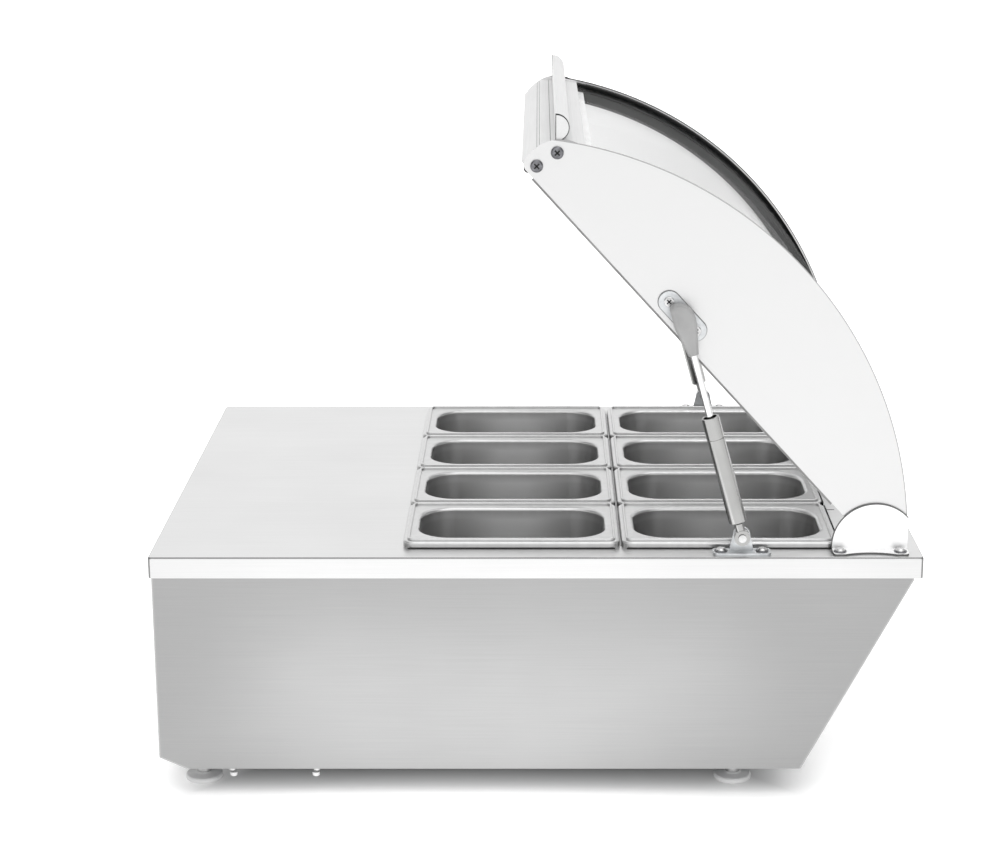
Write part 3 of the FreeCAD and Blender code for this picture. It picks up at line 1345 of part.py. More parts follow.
# Gas struts
def make_strut_bracket(side):
    """Screwed base with an upright lug for the lower strut pin."""
    body = new_body(f"strut_bracket_{SIDE_NAMES[side]}")
    sketch = level(body, "base", d.top_height)
    low_y, high_y = span(side, bracket_in, bracket_in + d.bracket_width)
    half = d.bracket_length / 2
    box_outline(sketch, strut_foot_x - half, strut_foot_x + half, low_y, high_y, d.bracket_width * 0.3)
    for x, y in strut_screw_points(side):
        circle(sketch, x, y, d.top_screw_shank + d.screw_fit)
    pad(body, sketch, d.bracket_sheet)
    lug_out = strut_y - d.eye_width / 2 - d.lug_gap
    low_y, high_y = span(side, lug_out - d.lug_sheet, lug_out)
    foot_z = d.top_height + d.bracket_sheet * 0.5
    layer(body, "lug", low_y, high_y, [
        (strut_foot_x - d.lug_foot, foot_z), (strut_foot_x + d.lug_foot, foot_z),
        (strut_foot_x + d.lug_radius, strut_foot_z, d.lug_radius),
        (strut_foot_x, strut_foot_z + d.lug_radius, d.lug_radius),
        (strut_foot_x - d.lug_radius, strut_foot_z),
    ])
    hole_along_y(body, "pin_hole", low_y, [(strut_foot_x, strut_foot_z, d.pin_radius + d.pin_fit)])


def make_strut_pins():
    """Headed pins through the strut eyes and the lugs."""
    reach = d.eye_width + d.lug_gap * 2 + d.lug_sheet
    pin = turned_solid([
        (0, -reach), (d.pin_radius, -reach), (d.pin_radius, 0), (d.pin_head, 0),
        (d.pin_head, d.pin_head_height), (0, d.pin_head_height),
    ])
    places = []
    for side in (NEAR, FAR):
        y = (strut_y + d.eye_width / 2 + d.lug_gap) * side
        places.append(at(strut_foot_x, y, strut_foot_z, Vector(1, 0, 0), -90.0 * side))
    group("strut_pins", copies(pin, places))


def place_on_strut(body, side):
    """Put a sub-part drawn along Z from the lower pin where the strut has it."""
    return place(body, strut_foot_x, strut_y * side, strut_foot_z, Vector(0, 1, 0), strut_lean)


def make_strut_tube(side):
    """Strut tube with an open mouth, a rod gland, a collar groove and the lower eye."""
    body = new_body(f"strut_tube_{SIDE_NAMES[side]}")
    sketch = upright(body, "section", 0)
    mouth, groove = d.tube_mouth, d.tube_mouth - d.collar_drop
    gland_top = mouth - d.mouth_depth
    gland_under = gland_top - d.gland_height
    gland = d.rod_radius + d.slide_fit
    waist = d.tube_radius - d.collar_groove
    outline(sketch, [
        (0, d.pin_radius * 1.6), (d.neck_radius, d.pin_radius * 1.6), (d.neck_radius, d.tube_foot),
        (d.tube_radius - d.tube_bevel, d.tube_foot), (d.tube_radius, d.tube_foot + d.tube_bevel),
        (d.tube_radius, groove - d.collar_groove), (waist, groove - d.collar_groove),
        (waist, groove), (d.tube_radius, groove), (d.tube_radius, mouth),
        (d.mouth_bore, mouth), (d.mouth_bore, gland_top), (gland, gland_top), (gland, gland_under),
        (d.tube_bore, gland_under), (d.tube_bore, d.tube_bore_foot), (0, d.tube_bore_foot),
    ])
    turn(body, sketch)
    half = d.eye_width / 2
    rod_along_y(body, "eye", 0, 0, d.eye_radius, -half, half)
    hole_along_y(body, "pin_hole", -half, [(as_size(0), as_size(0), d.pin_radius + d.pin_fit)])
    place_on_strut(body, side)


def make_strut_rod(side):
    """Strut rod with its piston."""
    body = new_body(f"strut_rod_{SIDE_NAMES[side]}")
    sketch = upright(body, "section", 0)
    low = d.tube_mouth - d.rod_inside
    high = strut_length - d.hood_tail + d.rod_seat
    piston = d.tube_bore - d.slide_fit
    outline(sketch, [
        (0, low), (piston, low), (piston, low + d.piston_height), (d.rod_radius, low + d.piston_height),
        (d.rod_radius, high), (0, high),
    ])
    turn(body, sketch)
    place_on_strut(body, side)


def make_strut_hood(side):
    """Plastic hood over the upper stud, hollow behind and drawn down to the rod."""
    body = new_body(f"strut_hood_{SIDE_NAMES[side]}")
    back = strut_y - oval_out - d.hood_gap
    low_y, high_y = (-d.hood_front, back) if side == NEAR else (-back, d.hood_front)
    shoulder = strut_length - d.hood_head
    crown = strut_length + d.hood_room + d.hood_wall
    corner, big = d.hood_corner, d.hood_round
    layer(body, "head", low_y, high_y, [
        (-d.hood_half, shoulder), (d.hood_half, shoulder), (d.hood_half, crown - big, big),
        (d.hood_half - big, crown), (corner - d.hood_half, crown, corner), (-d.hood_half, crown - corner),
    ])
    neck = d.hood_neck
    wide = level(body, "tail_top", shoulder)
    box_outline(wide, -d.hood_half, d.hood_half, low_y, high_y, d.hood_tail_corner)
    narrow = level(body, "tail_end", strut_length - d.hood_tail)
    box_outline(narrow, -neck, neck, -neck, neck, neck * 0.9)
    loft(body, "AdditiveLoft", [wide, narrow])
    front = (low_y if side == NEAR else high_y).value
    shoulder_z = shoulder.value

    def on_front(edge):
        box = edge.BoundBox
        in_front = abs(box.YMin - front) < 0.01 and abs(box.YMax - front) < 0.01
        return in_front and box.ZMax > shoulder_z + 0.01

    round_edges(body, "front", d.hood_edge, on_front)
    room, tight = d.hood_room, d.room_corner
    wide_turn = big - (d.hood_half - room)
    low, high = strut_length - room, strut_length + room
    sketch = upright(body, "room", low_y + d.hood_wall if side == NEAR else high_y - d.hood_wall)
    outline(sketch, [
        (tight - room, low), (room - tight, low, tight),
        (room, low + tight), (room, high - wide_turn, wide_turn),
        (room - wide_turn, high), (tight - room, high, tight),
        (-room, high - tight), (-room, low + tight, tight),
    ])
    pocket(body, sketch, reverse=side == FAR)
    sketch = level(body, "rod_hole", strut_length - d.hood_tail)
    circle(sketch, 0, 0, d.rod_radius + d.pin_fit)
    pocket(body, sketch, d.rod_seat, reverse=True)
    place_on_strut(body, side)


def make_strut_plate(side):
    """Oval plate on the cheek with the stud for the strut hood."""
    body = new_body(f"strut_plate_{SIDE_NAMES[side]}")
    low_y, high_y = span(side, cheek_out, oval_out)
    sketch = upright(body, "oval", high_y)
    middle_x, middle_z = -d.oval_back, d.oval_rise
    half_x, half_z = d.oval_length / 2, d.oval_width / 2
    box_outline(sketch, middle_x - half_x, middle_x + half_x, middle_z - half_z, middle_z + half_z,
                d.oval_width * 0.48)
    for step in (-1, 1):
        circle(sketch, middle_x + d.oval_screw_pitch / 2 * step, middle_z, d.oval_hole)
    pad(body, sketch, high_y - low_y)
    stud_low, stud_high = span(side, cheek_out, oval_out + d.ball_length)
    rod_along_y(body, "stud", -d.ball_back, d.ball_rise, d.ball_radius, stud_low, stud_high)
    place_on_lid(body)


# Machine side
def make_compressor():
    """Compressor pot on its plate."""
    body = new_body("compressor")
    sketch = level(body, "plate", pot_plate_z)
    half_x, half_y = d.pot_radius, d.pot_plate_length / 2
    box_outline(sketch, -half_x, half_x, -half_y, half_y, d.mount_radius)
    for x, y in mount_points():
        circle(sketch, x - pot_x, y + d.pot_y, d.mount_bolt + d.screw_fit)
    pad(body, sketch, d.pot_plate_sheet)
    sketch = upright(body, "pot", 0)
    low = pot_plate_z
    top = low + d.pot_plate_sheet + d.pot_height
    shoulder = top - d.pot_shoulder
    inner = d.pot_radius * 0.5
    foot = d.pot_radius * 0.85
    outline(sketch, [
        (0, low), (foot, low), (foot, low + d.pot_plate_sheet), (d.pot_radius, low + d.pot_shoulder * 0.6),
        (d.pot_radius, shoulder, d.pot_radius), (inner, top), (0, top),
    ])
    turn(body, sketch)
    place(body, pot_x, -d.pot_y, 0)


def make_compressor_mounts():
    """Rubber mounts under the compressor plate and their bolts."""
    waist = d.mount_radius * 0.75
    third = d.mount_height / 3
    mount = turned_solid([
        (d.mount_bore, 0), (d.mount_radius, 0), (d.mount_radius, third), (waist, third * 1.2),
        (waist, third * 1.8), (d.mount_radius, third * 2), (d.mount_radius, d.mount_height),
        (d.mount_bore, d.mount_height),
    ])
    group("compressor_mounts", copies(mount, [at(x, y, machine_floor) for x, y in mount_points()]))
    reach = d.mount_height + d.pot_plate_sheet + d.panel_sheet * 2
    bolt = screw(d.mount_bolt, reach, d.mount_bolt * 2, d.mount_bolt * 1.3)
    seat = pot_plate_z + d.pot_plate_sheet
    group("compressor_bolts", copies(bolt, [at(x, y, seat) for x, y in mount_points()]))


def make_condenser():
    """Finned condenser between two end plates."""
    body = new_body("condenser")
    low, high = d.condenser_y - d.condenser_width / 2, d.condenser_y + d.condenser_width / 2
    right = condenser_x + d.condenser_depth
    top = machine_floor + d.condenser_height
    sketch = level(body, "plates", machine_floor)
    box_outline(sketch, condenser_x, right, low, low + d.condenser_end)
    box_outline(sketch, condenser_x, right, high - d.condenser_end, high)
    body.AllowCompound = True
    pad(body, sketch, top - machine_floor)
    sketch = upright(body, "tubes", high)
    for tube in range(CONDENSER_TUBES):
        z = fan_z + d.tube_pitch * (tube - (CONDENSER_TUBES - 1) / 2)
        circle(sketch, condenser_x + d.condenser_depth / 2, z, d.tube_size)
    pad(body, sketch, high - low)
    sketch = level(body, "fin", machine_floor)
    pitch = d.condenser_width / (CONDENSER_FINS + 1)
    box_outline(sketch, condenser_x + d.fin_sheet, right - d.fin_sheet,
                low + pitch - d.fin_sheet / 2, low + pitch + d.fin_sheet / 2)
    repeat(body, pad(body, sketch, top - machine_floor), "V_Axis", pitch, CONDENSER_FINS)


def make_fan_shroud():
    """Shroud behind the condenser with the fan opening, the motor, its arms and the shaft."""
    body = new_body("fan_shroud")
    low, high = d.condenser_y - d.condenser_width / 2, d.condenser_y + d.condenser_width / 2
    top = machine_floor + d.condenser_height
    sketch = facing(body, "box", shroud_x)
    box_outline(sketch, low, high, machine_floor, top)
    pad(body, sketch, d.shroud_depth)
    face_x = shroud_x.value
    shell(body, d.shroud_sheet, lambda face: abs(face.CenterOfMass.x - face_x) < 0.01)
    back = shroud_x + d.shroud_depth
    sketch = facing(body, "opening", back)
    circle(sketch, d.condenser_y, fan_z, d.fan_radius)
    pocket(body, sketch, d.shroud_sheet)
    sketch = facing(body, "arms", back - d.shroud_sheet)
    reach = d.fan_radius + d.arm_width
    half = d.arm_width / 2
    box_outline(sketch, d.condenser_y - reach, d.condenser_y + reach, fan_z - half, fan_z + half)
    pad(body, sketch, d.shroud_sheet)
    sketch = facing(body, "motor", hub_x + d.fan_hub_length + d.motor_gap)
    circle(sketch, d.condenser_y, fan_z, d.motor_radius)
    pad(body, sketch, d.motor_length)
    sketch = facing(body, "shaft", hub_x)
    circle(sketch, d.condenser_y, fan_z, d.shaft_radius)
    pad(body, sketch, d.fan_hub_length + d.motor_gap + d.motor_length)


def make_fan_rotor():
    """Fan with its hub and pitched blades."""
    hub = Part.makeCylinder(d.fan_hub.value, d.fan_hub_length.value)
    reach = d.fan_radius.value - d.fan_tip_gap.value
    inner = d.fan_hub.value * 0.8
    chord, thick = d.fan_blade_chord.value, d.fan_blade_sheet.value
    blade = Part.makeBox(reach - inner, chord, thick, Vector(inner, -chord / 2, -thick / 2))
    blade.rotate(Vector(0, 0, 0), Vector(1, 0, 0), d.fan_blade_pitch.value)
    blade.translate(Vector(0, 0, d.fan_hub_length.value / 2))
    ring = Part.makeCylinder(reach, d.fan_hub_length.value)
    blade = blade.common(ring)
    rotor = hub
    for number in range(FAN_BLADES):
        turned = blade.copy()
        turned.rotate(Vector(0, 0, 0), Vector(0, 0, 1), 360 / FAN_BLADES * number)
        rotor = rotor.fuse(turned)
    rotor = rotor.cut(Part.makeCylinder((d.shaft_radius + d.shaft_fit).value, d.fan_hub_length.value))
    feature = doc.addObject("Part::Feature", "fan_rotor")
    feature.Label = "fan_rotor"
    feature.Shape = rotor.removeSplitter()
    place(feature, hub_x, d.condenser_y, fan_z, Vector(0, 1, 0), 90)


# Controls
def control_body(label, y, z, length, height, depth):
    """Body of a control behind its cut-out, with a bezel in front of the panel."""
    body = new_body(label)
    sketch = facing(body, "body", rear_out)
    box_outline(sketch, y - length / 2, y + length / 2, z - height / 2, z + height / 2)
    pad(body, sketch, depth)
    sketch = facing(body, "bezel", rear_out)
    half_y, half_z = length / 2 + d.bezel_lap, height / 2 + d.bezel_lap
    box_outline(sketch, y - half_y, y + half_y, z - half_z, z + half_z, d.bezel_lap)
    pad(body, sketch, d.bezel_sheet, reverse=True)
    return body


def make_controller():
    """Temperature controller with a sunk display window."""
    y = -d.controller_y
    body = control_body("controller", y, d.control_z, d.controller_length, d.controller_height,
                        d.controller_depth)
    sketch = facing(body, "window", rear_out - d.bezel_sheet)
    middle = y + d.window_shift
    box_outline(sketch, middle - d.window_length / 2, middle + d.window_length / 2,
                d.control_z - d.window_height / 2, d.control_z + d.window_height / 2)
    pocket(body, sketch, d.window_depth, reverse=True)


def make_switch():
    """Rocker switch: a hollow body and the rocker on its two pins."""
    y, z = -d.switch_y, d.control_z
    body = control_body("switch_body", y, z, d.switch_width, d.switch_length, d.switch_depth)
    half_y = d.switch_width / 2 - d.switch_wall
    half_z = d.switch_length / 2 - d.switch_wall
    sketch = facing(body, "room", rear_out - d.bezel_sheet)
    box_outline(sketch, y - half_y, y + half_y, z - half_z, z + half_z)
    pocket(body, sketch, d.bezel_sheet + d.switch_room, reverse=True)
    axis_x = rear_out + d.rocker_axis
    pin_reach = half_y - d.rocker_gap + d.rocker_pin_length + d.rocker_gap
    sketch = upright(body, "pin_holes", y - pin_reach)
    circle(sketch, axis_x, z, d.rocker_pin + d.pin_fit)
    pocket(body, sketch, pin_reach * 2)

    rocker = new_body("switch_rocker")
    wide = half_y - d.rocker_gap
    tall = half_z - d.rocker_gap * 2
    layer(rocker, "section", -wide, wide, [
        (-d.rocker_end, -tall), (d.rocker_back - d.rocker_end, -tall), (d.rocker_back, -tall * 0.5),
        (d.rocker_back, tall * 0.5), (d.rocker_back - d.rocker_end, tall), (-d.rocker_end, tall),
        (-d.rocker_face, 0),
    ])
    rod_along_y(rocker, "pins", 0, 0, d.rocker_pin, -pin_reach + d.pin_fit, pin_reach - d.pin_fit)
    place(rocker, axis_x, y, z, Vector(0, 1, 0), d.rocker_tilt)


def make_power_inlet():
    """Mains inlet with its sunk socket and three contact pins."""
    y, z = -inlet_y, d.inlet_z
    body = control_body("power_inlet", y, z, d.inlet_length, d.inlet_height, d.inlet_depth)
    front = rear_out - d.bezel_sheet
    sketch = facing(body, "socket", front)
    half_y, half_z = d.inlet_length / 2 - d.inlet_wall, d.inlet_height / 2 - d.inlet_wall
    box_outline(sketch, y - half_y, y + half_y, z - half_z, z + half_z, d.inlet_wall)
    pocket(body, sketch, d.bezel_sheet + d.inlet_room, reverse=True)
    sketch = facing(body, "pins", rear_out + d.inlet_room)
    half_sheet, half_pin = d.inlet_pin_sheet / 2, d.inlet_pin_height / 2
    for step in (-1, 0, 1):
        pin_y = y + d.inlet_pin_pitch * step
        pin_z = z + (half_pin if step == 0 else -half_pin)
        box_outline(sketch, pin_y - half_sheet, pin_y + half_sheet, pin_z - half_pin, pin_z + half_pin)
    pad(body, sketch, d.inlet_pin_length, reverse=True)


make_worktop()
for side in (NEAR, FAR):
    make_side_panel(side)
make_front_panel()
make_rear_panel()
make_base_pan()
make_feet()
make_inner_tank()
make_insulation()
make_evaporator_coil()
make_drain_tube()
make_pan_support_bar()
for column in range(PAN_COLUMNS):
    for row in range(PAN_ROWS):
        make_pan(column, row)
for side in (NEAR, FAR):
    make_cheek(side)
    make_glass_channel(side)
make_curved_glass()
make_edge_profile()
make_hinge_rail()
make_grip_bar()
make_lid_seal()
make_cheek_trims()
make_nose_screws()
for side in (NEAR, FAR):
    make_hinge_bracket(side)
    make_strut_bracket(side)
    make_strut_tube(side)
    make_strut_rod(side)
    make_strut_hood(side)
    make_strut_plate(side)
make_hinge_nuts()
make_top_screws()
make_strut_pins()
make_compressor()
make_compressor_mounts()
make_condenser()
make_fan_shroud()
make_fan_rotor()
make_controller()
make_switch()
make_power_inlet()
doc.recompute()

# Every object has to be sound before anything is written
for obj in doc.Objects:
    if "Invalid" in obj.State or "Error" in obj.State:
        raise RuntimeError(f"{obj.Name} failed: {obj.State}")

PIECE_TYPES = ("PartDesign::Body", "Part::Feature", "Part::Compound")
pieces = [obj for obj in doc.Objects if obj.TypeId in PIECE_TYPES]
for piece in pieces:
    if piece.Shape.isNull() or not piece.Shape.isValid() or piece.Shape.Volume <= 0:
        raise RuntimeError(f"{piece.Label} has no sound shape")

os.makedirs("parts", exist_ok=True)
for piece in pieces:
    piece.Shape.exportStep(f"parts/{piece.Label}.step")
print(f"{len(pieces)} pieces, strut {strut_length.value:.2f} mm long, leaning {strut_lean.value:.2f} degrees")
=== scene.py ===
"""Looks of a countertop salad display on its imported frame: finishes, small fittings and the studio."""

import json
import logging
import math
from dataclasses import dataclass
from enum import Enum

import bmesh
import bpy
from bmesh.types import BMEdge, BMesh, BMFace, BMVert
from bpy.types import Material, Node, NodeOutputs, NodeSocket, NodeTree, Object
from mathutils import Matrix, Vector


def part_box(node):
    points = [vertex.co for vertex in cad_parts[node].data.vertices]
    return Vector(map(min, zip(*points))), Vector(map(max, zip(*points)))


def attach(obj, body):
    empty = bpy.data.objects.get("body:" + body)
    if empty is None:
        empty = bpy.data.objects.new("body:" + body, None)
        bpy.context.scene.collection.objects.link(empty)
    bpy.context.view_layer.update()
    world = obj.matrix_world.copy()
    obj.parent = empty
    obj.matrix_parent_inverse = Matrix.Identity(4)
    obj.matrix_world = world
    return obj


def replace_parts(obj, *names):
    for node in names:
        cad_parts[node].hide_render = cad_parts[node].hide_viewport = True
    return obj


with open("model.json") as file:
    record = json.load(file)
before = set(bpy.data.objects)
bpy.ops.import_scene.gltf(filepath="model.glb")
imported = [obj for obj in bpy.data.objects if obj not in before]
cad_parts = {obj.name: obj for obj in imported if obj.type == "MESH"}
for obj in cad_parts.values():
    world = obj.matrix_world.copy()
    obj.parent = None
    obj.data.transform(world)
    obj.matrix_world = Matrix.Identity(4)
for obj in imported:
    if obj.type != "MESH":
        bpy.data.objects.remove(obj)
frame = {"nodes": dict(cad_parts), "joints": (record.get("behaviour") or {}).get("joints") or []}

LOG = logging.getLogger("salad_display")
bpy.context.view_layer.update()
MM = 0.001
WHITE = "#ffffff"
# Height of the worktop in metres
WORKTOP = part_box("worktop")[1].z
PAN_COLUMNS = ("left", "right")
PAN_ROWS = (1, 2, 3, 4)
# Most of a noise lies between these two values
NOISE_RANGE = (0.3, 0.7)
# Height of the thin bars that draw the painted shade of a screw's cross recess
CROSS_HEIGHT = 0.12
# Edges that turn by more than this angle stay sharp
SHARP = math.radians(35.0)
Triple = tuple[float, float, float]


class Side(Enum):
    """Which long side of the display a piece is on, as the sign of its Y."""

    NEAR = -1
    FAR = 1

    @property
    def word(self) -> str:
        """The side's name in node names."""
        return self.name.lower()

    @property
    def outward(self) -> Vector:
        """The way out of the display on this side."""
        return Vector((0, self.value, 0))

    def face_of(self, node: str) -> float:
        """Y of a node's outermost face on this side in metres."""
        low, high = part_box(node)
        return high.y if self is Side.FAR else low.y


class Grain(Enum):
    """The axis that a ground surface's lines run along."""

    ALONG_X = (1, 0, 0)
    ALONG_Y = (0, 1, 0)


def linear(code: str) -> tuple[float, float, float, float]:
    """Turn an sRGB hex colour into linear light.

    Args:
        code: Six hex digits with a leading hash.

    Returns:
        Red, green, blue and a full alpha.
    """
    values = [int(code[start:start + 2], 16) / 255 for start in (1, 3, 5)]
    red, green, blue = (v / 12.92 if v <= 0.04045 else ((v + 0.055) / 1.055) ** 2.4 for v in values)
    return red, green, blue, 1.0


@dataclass
class Nodes:
    """A node tree and the ways of adding to it. Places are Object coordinates in metres."""

    tree: NodeTree

    def add(self, kind: str, inputs: dict | None = None, **settings: object) -> Node:
        """Add a node with its settings, values and links.

        Args:
            kind: Blender's type name of the node.
            inputs: Socket name or number to a value, or to the output that feeds it.
            **settings: Properties of the node.

        Returns:
            The new node.
        """
        node = self.tree.nodes.new(kind)
        for name, value in settings.items():
            setattr(node, name, value)
        self.fill(node, inputs or {})
        return node

    def fill(self, node: Node, inputs: dict) -> None:
        """Set or link a node's inputs.

        Args:
            node: The node.
            inputs: As for add.
        """
        for name, value in inputs.items():
            if isinstance(value, NodeSocket):
                self.tree.links.new(value, node.inputs[name])
            else:
                node.inputs[name].default_value = value

    def calculate(self, operation: str, first: NodeSocket, second: NodeSocket | float = 0.0) -> NodeSocket:
        """Work a value out from one or two others."""
        return self.add("ShaderNodeMath", {0: first, 1: second}, operation=operation).outputs[0]

    def vector(self, operation: str, first: NodeSocket, second: tuple = (0, 0, 0)) -> NodeOutputs:
        """Work a vector or a length out from one or two vectors."""
        return self.add("ShaderNodeVectorMath", {0: first, 1: second}, operation=operation).outputs

    def ranged(self, value: NodeSocket, source: tuple[float, float], target: tuple[float, float] = (0.0, 1.0),
               smooth: bool = False) -> NodeSocket:
        """Map a value from one range to another and hold it at the ends.

        Args:
            value: The value.
            source: The two ends of its range.
            target: What they become.
            smooth: Whether the change eases in and out.

        Returns:
            The mapped value.
        """
        return self.add("ShaderNodeMapRange", {
            "Value": value, "From Min": source[0], "From Max": source[1],
            "To Min": target[0], "To Max": target[1],
        }, interpolation_type="SMOOTHSTEP" if smooth else "LINEAR").outputs["Result"]

    def place(self, kind: str = "Object") -> NodeSocket:
        """A place's Object, Normal or Generated coordinates."""
        return self.add("ShaderNodeTexCoord").outputs[kind]

    def parts(self, vector: NodeSocket) -> NodeOutputs:
        """A vector's X, Y and Z."""
        return self.add("ShaderNodeSeparateXYZ", {0: vector}).outputs

    def along(self, axis: str) -> NodeSocket:
        """How far a place is along X, Y or Z."""
        return self.parts(self.place())[axis]

    def away(self, axis: str, middle: float) -> NodeSocket:
        """How far a place is from a middle along X, Y or Z, on either side of it."""
        return self.calculate("ABSOLUTE", self.calculate("SUBTRACT", self.along(axis), middle))

    def reach(self, x: float, z: float) -> NodeSocket:
        """How far a place is from an axis along Y at X and Z in millimetres."""
        flat = self.vector("MULTIPLY", self.place(), (1, 0, 1))[0]
        return self.vector("DISTANCE", flat, (x * MM, 0, z * MM))["Value"]

    def noise(self, cell: Triple, detail: float = 2.0) -> NodeSocket:
        """A noise whose cells have a real size.

        Args:
            cell: Size of a cell along X, Y and Z in millimetres.
            detail: How many finer layers the noise has.

        Returns:
            The noise's factor.
        """
        scale = tuple(1.0 / (size * MM) for size in cell)
        scaled = self.add("ShaderNodeMapping", {"Vector": self.place(), "Scale": scale}).outputs["Vector"]
        noise = self.add("ShaderNodeTexNoise", {"Vector": scaled, "Scale": 1.0, "Detail": detail})
        return noise.outputs["Fac"]


@dataclass
class Surface(Nodes):
    """A material's node tree with its shader."""

    shader: Node

    def feed(self, name: str, value: NodeSocket | float | tuple) -> None:
        """Set or link one of the shader's inputs."""
        self.fill(self.shader, {name: value})

    def tint(self, factor: NodeSocket, dark: str, light: str) -> None:
        """Mix the colour from two by a noise.

        Args:
            factor: The noise.
            dark: Colour at the noise's lower end.
            light: Colour at its upper end.
        """
        ramp = self.add("ShaderNodeValToRGB", {"Fac": factor})
        for element, position, colour in zip(ramp.color_ramp.elements, NOISE_RANGE, (dark, light)):
            element.position = position
            element.color = linear(colour)
        self.feed("Base Color", ramp.outputs["Color"])

    def polish(self, factor: NodeSocket, dull: float, bright: float) -> None:
        """Let the roughness follow a noise from its lower to its upper end."""
        self.feed("Roughness", self.ranged(factor, NOISE_RANGE, (dull, bright)))

    def emboss(self, height: NodeSocket, strength: float, depth: float) -> None:
        """Add a relief of some strength and a depth in millimetres."""
        bump = self.add("ShaderNodeBump", {"Height": height, "Strength": strength, "Distance": depth * MM})
        self.feed("Normal", bump.outputs["Normal"])

    def overlay(self, mask: NodeSocket, colour: str) -> None:
        """Lay a second colour over the mixed one.

        Args:
            mask: One where the second colour lies, zero elsewhere.
            colour: The second colour.
        """
        under = self.shader.inputs["Base Color"].links[0].from_socket
        mix = self.add("ShaderNodeMix", {0: mask, 6: under, 7: linear(colour)}, data_type="RGBA")
        self.feed("Base Color", mix.outputs[2])


@dataclass(frozen=True)
class Finish:
    """A surface's material: its name, colour, gloss and metal part. Other sizes are millimetres."""

    name: str
    colour: str
    roughness: float
    metallic: float = 0.0

    def material(self) -> Material:
        """Build the material once and return it.

        Returns:
            The material of this finish.
        """
        made = bpy.data.materials.get(self.name)
        if made is not None:
            return made
        made = bpy.data.materials.new(self.name)
        made.use_nodes = True
        made.node_tree.nodes.clear()
        nodes = Nodes(made.node_tree)
        shader = nodes.add("ShaderNodeBsdfPrincipled", {
            "Base Color": linear(self.colour), "Roughness": self.roughness, "Metallic": self.metallic,
        })
        nodes.add("ShaderNodeOutputMaterial", {"Surface": shader.outputs["BSDF"]})
        self.detail(Surface(made.node_tree, shader))
        return made

    def detail(self, surface: Surface) -> None:
        """Add what the plain shader lacks. A plain finish adds nothing.

        Args:
            surface: The material's nodes.
        """

    def dress(self, *nodes: str) -> None:
        """Give this finish to CAD nodes.

        Args:
            *nodes: Names of the nodes.
        """
        for name in nodes:
            slots = frame["nodes"][name].data.materials
            slots.clear()
            slots.append(self.material())
            LOG.info("%s gets %s", name, self.name)


@dataclass(frozen=True)
class GroundSteel(Finish):
    """Stainless sheet ground on a belt: long fine lines that draw reflections out across them."""

    metallic: float = 1.0
    grain: Grain = Grain.ALONG_X
    light: str = "#f2f2f2"
    line: float = 0.9
    line_length: float = 90.0
    cloud: float = 140.0
    depth: float = 0.004
    relief: float = 0.12
    gloss_range: float = 0.03

    def detail(self, surface: Surface) -> None:
        """Ground lines in gloss and relief, and broad clouds where the belt pressed unevenly."""
        # Real belt lines are about 0.2 mm apart. They are drawn at 0.9 mm so that they show.
        cell = tuple(self.line_length if axis else self.line for axis in self.grain.value)
        lines = surface.noise(cell, detail=3.0)
        clouds = surface.noise((self.cloud,) * 3)
        mean = surface.calculate("MULTIPLY", surface.calculate("ADD", lines, clouds), 0.5)
        surface.tint(mean, self.colour, self.light)
        surface.polish(mean, self.roughness + self.gloss_range, self.roughness - self.gloss_range)
        surface.emboss(lines, self.relief, self.depth)


@dataclass(frozen=True)
class FoldedSteel(GroundSteel):
    """Folded sheet: the ground face, with painted shade on the bends."""

    # Painted shade on the bends, where the normal lies near no axis
    bend_shade: str = "#7c7c7c"
    flat: float = 0.93

    def detail(self, surface: Surface) -> None:
        """The ground face, and painted shade on the bends, where the surface faces along no axis."""
        super().detail(surface)
        x, y, z = surface.parts(surface.vector("ABSOLUTE", surface.place("Normal"))[0])
        most = surface.calculate("MAXIMUM", surface.calculate("MAXIMUM", x, y), z)
        surface.overlay(surface.calculate("LESS_THAN", most, self.flat), self.bend_shade)


@dataclass(frozen=True)
class EdgedSteel(FoldedSteel):
    """Cut sheet with painted shade on its round edge and at its foot, which draws a thin dark outline."""

    flat: float = 0.0
    # Tone of the face turned to -Y; on the far cheek it is painted light
    front: str = "#f0f0f0"
    front_facing: float = -0.9
    # Painted shade on the edge beyond the rim radius and below the foot height
    edge: str = "#777777"
    centre: tuple[float, float] = (0.0, 0.0)
    rim: float = 1.0
    foot: float = 0.0

    def detail(self, surface: Surface) -> None:
        """The faces, the near one in its own tone (painted light on the far cheek), and painted shade beyond
        a radius and below a height.
        """
        super().detail(surface)
        across = surface.parts(surface.place("Normal"))["Y"]
        surface.overlay(surface.calculate("LESS_THAN", across, self.front_facing), self.front)
        outside = surface.calculate("GREATER_THAN", surface.reach(*self.centre), self.rim * MM)
        surface.overlay(outside, self.edge)
        below = surface.calculate("LESS_THAN", surface.along("Z"), self.foot * MM)
        surface.overlay(below, self.edge)


@dataclass(frozen=True)
class DrawnSteel(Finish):
    """Stainless sheet drawn in a press: bright, with faint draw marks down the walls and soft waves."""

    metallic: float = 1.0
    light: str = "#f4f4f4"
    mark: float = 7.0
    mark_length: float = 42.0
    wave: float = 34.0
    wave_depth: float = 0.2
    relief: float = 0.02
    gloss_range: float = 0.01

    def detail(self, surface: Surface) -> None:
        """Draw marks in the gloss and shallow waves in the relief."""
        marks = surface.noise((self.mark, self.mark, self.mark_length))
        waves = surface.noise((self.wave,) * 3, detail=1.0)
        surface.tint(marks, self.colour, self.light)
        surface.polish(marks, self.roughness + self.gloss_range, self.roughness - self.gloss_range)
        surface.emboss(waves, self.relief, self.wave_depth)


